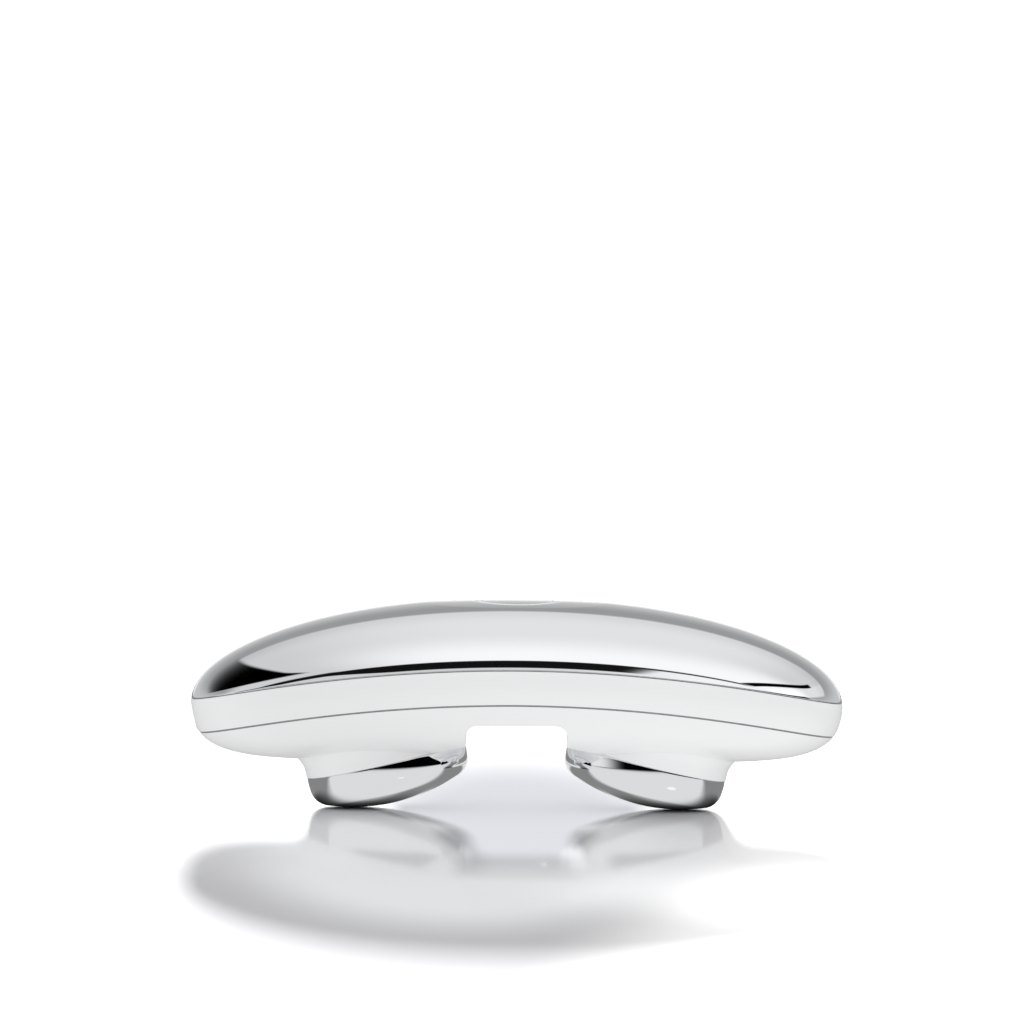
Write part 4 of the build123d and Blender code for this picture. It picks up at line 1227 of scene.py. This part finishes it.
# %% Pouch cell
TAPE_WIDTH = 6.0
cell_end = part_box("battery_cell")[1] / MM
tape_start = cell_end[0] - TAPE_WIDTH
paint = begin("pouch_foil")
place = millimetres(paint)
here_x, here_y, _ = paint.split(place)
creases = noise(paint, stretched(paint, place, 0.45, 1.0, 1.0), 3.2, 4.0)
dimples = cells(paint, place, 1.1)
tape = here_x.step(tape_start - 0.1, tape_start)
tape_edge = here_x.band(tape_start - 0.15, tape_start + 0.05, 0.03)
seal = abs(here_y).band(cell_end[1] - 1.3, cell_end[1] - 1.1, 0.05)
foil = paint.blend(creases, (0.52, 0.53, 0.55), (0.74, 0.75, 0.77))
foil = paint.blend(seal * 0.5, foil, (0.30, 0.30, 0.31))
amber = paint.blend(creases, (0.40, 0.16, 0.02), (0.56, 0.26, 0.05))
complete(
    paint,
    relief=creases + dimples * 0.15 + tape_edge * 0.5 - seal * 0.5,
    depth=0.10,
    Base_Color=paint.blend(tape, foil, amber),
    Metallic=(1 - tape) * 0.9,
    Roughness=0.30 + 0.14 * creases,
)
dress(paint.material, "battery_cell")


# %% Foam pads
def foam(name, dark, light, size):
    paint = begin(name)
    place = millimetres(paint)
    pores = cells(paint, place, size)
    edges = pores.step(0.15, 0.65)
    return complete(
        paint,
        relief=edges,
        depth=0.12,
        Base_Color=paint.blend(edges, dark, light),
        Roughness=0.88 + 0.08 * edges,
    )


dress(foam("grey_foam", (0.05, 0.05, 0.055), (0.17, 0.17, 0.18), 0.45), "battery_pad")
dress(foam("thin_foam", (0.55, 0.55, 0.52), (0.78, 0.78, 0.75), 0.25), "motor_pad")

# %% Leads
paint = begin("lead_insulation")
place = millimetres(paint)
red_side = paint.split(place)[1].step(-0.05, 0.05)
bloom = noise(paint, place, 1.2, 3.0)
red = paint.blend(bloom, (0.50, 0.012, 0.010), (0.66, 0.03, 0.022))
black = paint.blend(bloom, (0.010, 0.010, 0.011), (0.035, 0.035, 0.037))
complete(
    paint,
    relief=bloom,
    depth=0.02,
    Base_Color=paint.blend(red_side, black, red),
    Roughness=0.34 + 0.16 * bloom,
)
dress(paint.material, "battery_leads")

# %% [markdown]
# ### Inner plastics
# The frame is grey nylon filled with short glass, which leaves pale fibres at the skin and flow
# lines from the gate. The light shroud is black so that light leaves only upwards. The battery's
# plug and socket are ivory nylon and the ribbon's socket is black, all three with slots for their
# contacts that are darkened with painted shade. The switch is a black case under a steel lid, and
# its plunger is grey acetal.


# %% Moulded nylon
def nylon(name, dark, light, gloss, flow, fibres):
    """flow draws the flow lines out in x, y and z, and fibres is the share of pale fibres."""
    paint = begin(name)
    place = millimetres(paint)
    flow_lines = noise(paint, stretched(paint, place, *flow), 2.0, 3.0)
    fibre = noise(paint, stretched(paint, place, 0.25, 1.0, 1.0), 0.16, 1.0).step(0.60, 0.70)
    tone = paint.blend(flow_lines * (1 - fibres) + fibre * fibres, dark, light)
    return complete(
        paint,
        relief=flow_lines * 0.4 + fibre * 0.6,
        depth=0.008,
        Base_Color=tone,
        Roughness=gloss + 0.12 * flow_lines,
    )


filled_dark, filled_light = (0.15, 0.155, 0.165), (0.27, 0.275, 0.285)
black_dark, black_light = (0.012, 0.012, 0.013), (0.04, 0.04, 0.042)
acetal_dark, acetal_light = (0.38, 0.38, 0.39), (0.50, 0.50, 0.51)
filled = nylon("glass_filled_nylon", filled_dark, filled_light, 0.44, (0.3, 1.0, 1.0), 0.5)
black_nylon = nylon("black_nylon", black_dark, black_light, 0.50, (1.0, 1.0, 0.3), 0.2)
acetal = nylon("grey_acetal", acetal_dark, acetal_light, 0.30, (1.0, 1.0, 0.2), 0.1)
dress(filled, "chassis")
dress(black_nylon, "light_shroud")
dress(acetal, "switch_plunger")


# %% Connectors
def connector(name, body, slot_pitch, slot_low, slot_high):
    """Moulded nylon with a row of slots darkened by painted shade, between two heights over the
    circuit board.
    """
    paint = begin(name)
    place = millimetres(paint)
    _, here_y, here_z = paint.split(place)
    flow_lines = noise(paint, place, 0.7, 2.0)
    along_row = here_y.wave(slot_pitch)
    slot_height = (here_z - board_face).band(slot_low, slot_high, 0.03)
    slot = along_row.band(0.34, 0.66, 0.03) * slot_height * (1 - upright(paint))
    metal = along_row.band(0.45, 0.55, 0.02) * slot
    darker = tuple(part * 0.9 for part in body)
    tone = paint.blend(flow_lines, darker, body)
    # Painted shade: the slots are painted almost black.
    tone = paint.blend(slot, tone, (0.02, 0.02, 0.02))
    tone = paint.blend(metal, tone, (0.85, 0.66, 0.32))
    return complete(
        paint,
        relief=flow_lines * 0.1 - slot,
        depth=0.06,
        Base_Color=tone,
        Metallic=metal,
        Roughness=0.36 + 0.10 * flow_lines,
    )


ivory, black_case = (0.80, 0.78, 0.70), (0.035, 0.035, 0.037)
dress(connector("plug_nylon", ivory, 2.0, 0.75, 2.05), "battery_plug")
dress(connector("socket_nylon", ivory, 2.0, 0.35, 1.05), "battery_socket")
dress(connector("ribbon_socket_case", black_case, 0.8, 0.20, 0.75), "ribbon_socket")

# %% The switch
RIVET_PLACE = 2.3
switch_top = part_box("switch_body")[1][2] / MM
paint = begin("switch_case")
place = millimetres(paint)
here_x, here_y, here_z = paint.split(place)
lid = here_z.step(switch_top - 0.35, switch_top - 0.30)
rivet = 1 - distance(abs(here_x) - RIVET_PLACE, abs(here_y) - RIVET_PLACE).step(0.22, 0.30)
brushed = noise(paint, stretched(paint, place, 0.06, 1.0, 1.0), 0.10, 2.0)
steel = paint.blend(brushed, (0.55, 0.55, 0.55), (0.75, 0.75, 0.74))
steel = paint.blend(rivet, steel, (0.03, 0.03, 0.03))
case = paint.blend(brushed, (0.02, 0.02, 0.02), (0.045, 0.045, 0.045))
complete(
    paint,
    relief=brushed * 0.2 + rivet,
    depth=0.04,
    Base_Color=paint.blend(lid, case, steel),
    Metallic=lid * (1 - rivet),
    Roughness=0.32 + 0.14 * brushed,
)
dress(paint.material, "switch_body")

# %% [markdown]
# ### Charging port and ribbon
# The tongue of the port carries gold contacts on both faces, half a millimetre apart. The
# ribbon is amber polyimide with copper tracks that run along it and show through the film.

# %% The tongue
CONTACT_PITCH = 0.5
ROW_END = 2.9
tongue_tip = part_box("port_tongue")[0][0] / MM
paint = begin("port_contacts")
place = millimetres(paint)
here_x, here_y, _ = paint.split(place)
reach = (here_x - tongue_tip).band(0.7, 3.9, 0.05) * (1 - abs(here_y).step(ROW_END, ROW_END + 0.05))
contact = (here_y + CONTACT_PITCH / 2).wave(CONTACT_PITCH).band(0.28, 0.72, 0.03)
contact = contact * reach * upright(paint)
grain = noise(paint, place, 0.15, 2.0)
tongue_tone = paint.blend(grain, (0.014, 0.014, 0.015), (0.04, 0.04, 0.042))
complete(
    paint,
    relief=contact + grain * 0.1,
    depth=0.04,
    Base_Color=paint.blend(contact, tongue_tone, (0.93, 0.70, 0.30)),
    Metallic=contact,
    Roughness=0.40 - 0.16 * contact + 0.08 * grain,
)
dress(paint.material, "port_tongue")

# %% The ribbon
RIBBON_PITCH = 0.7
paint = begin("polyimide_ribbon")
place = millimetres(paint)
here_y = paint.split(place)[1]
inside_edge = 1 - abs(here_y).step(2.6, 2.7)
track = here_y.wave(RIBBON_PITCH).band(0.22, 0.70, 0.04) * inside_edge
film = noise(paint, stretched(paint, place, 0.3, 1.0, 1.0), 0.9, 3.0)
film_tone = paint.blend(film, (0.42, 0.17, 0.025), (0.55, 0.25, 0.045))
copper_tone = paint.blend(film, (0.66, 0.30, 0.09), (0.78, 0.40, 0.14))
complete(
    paint,
    relief=track + film * 0.2,
    depth=0.02,
    Base_Color=paint.blend(track, film_tone, copper_tone),
    Metallic=track * 0.5,
    Roughness=0.26 + 0.12 * film,
)
dress(paint.material, "port_ribbon")

# %% Pieces left over
bare = [name for name in nodes if not nodes[name].data.materials]
print("pieces without a finish:", bare)
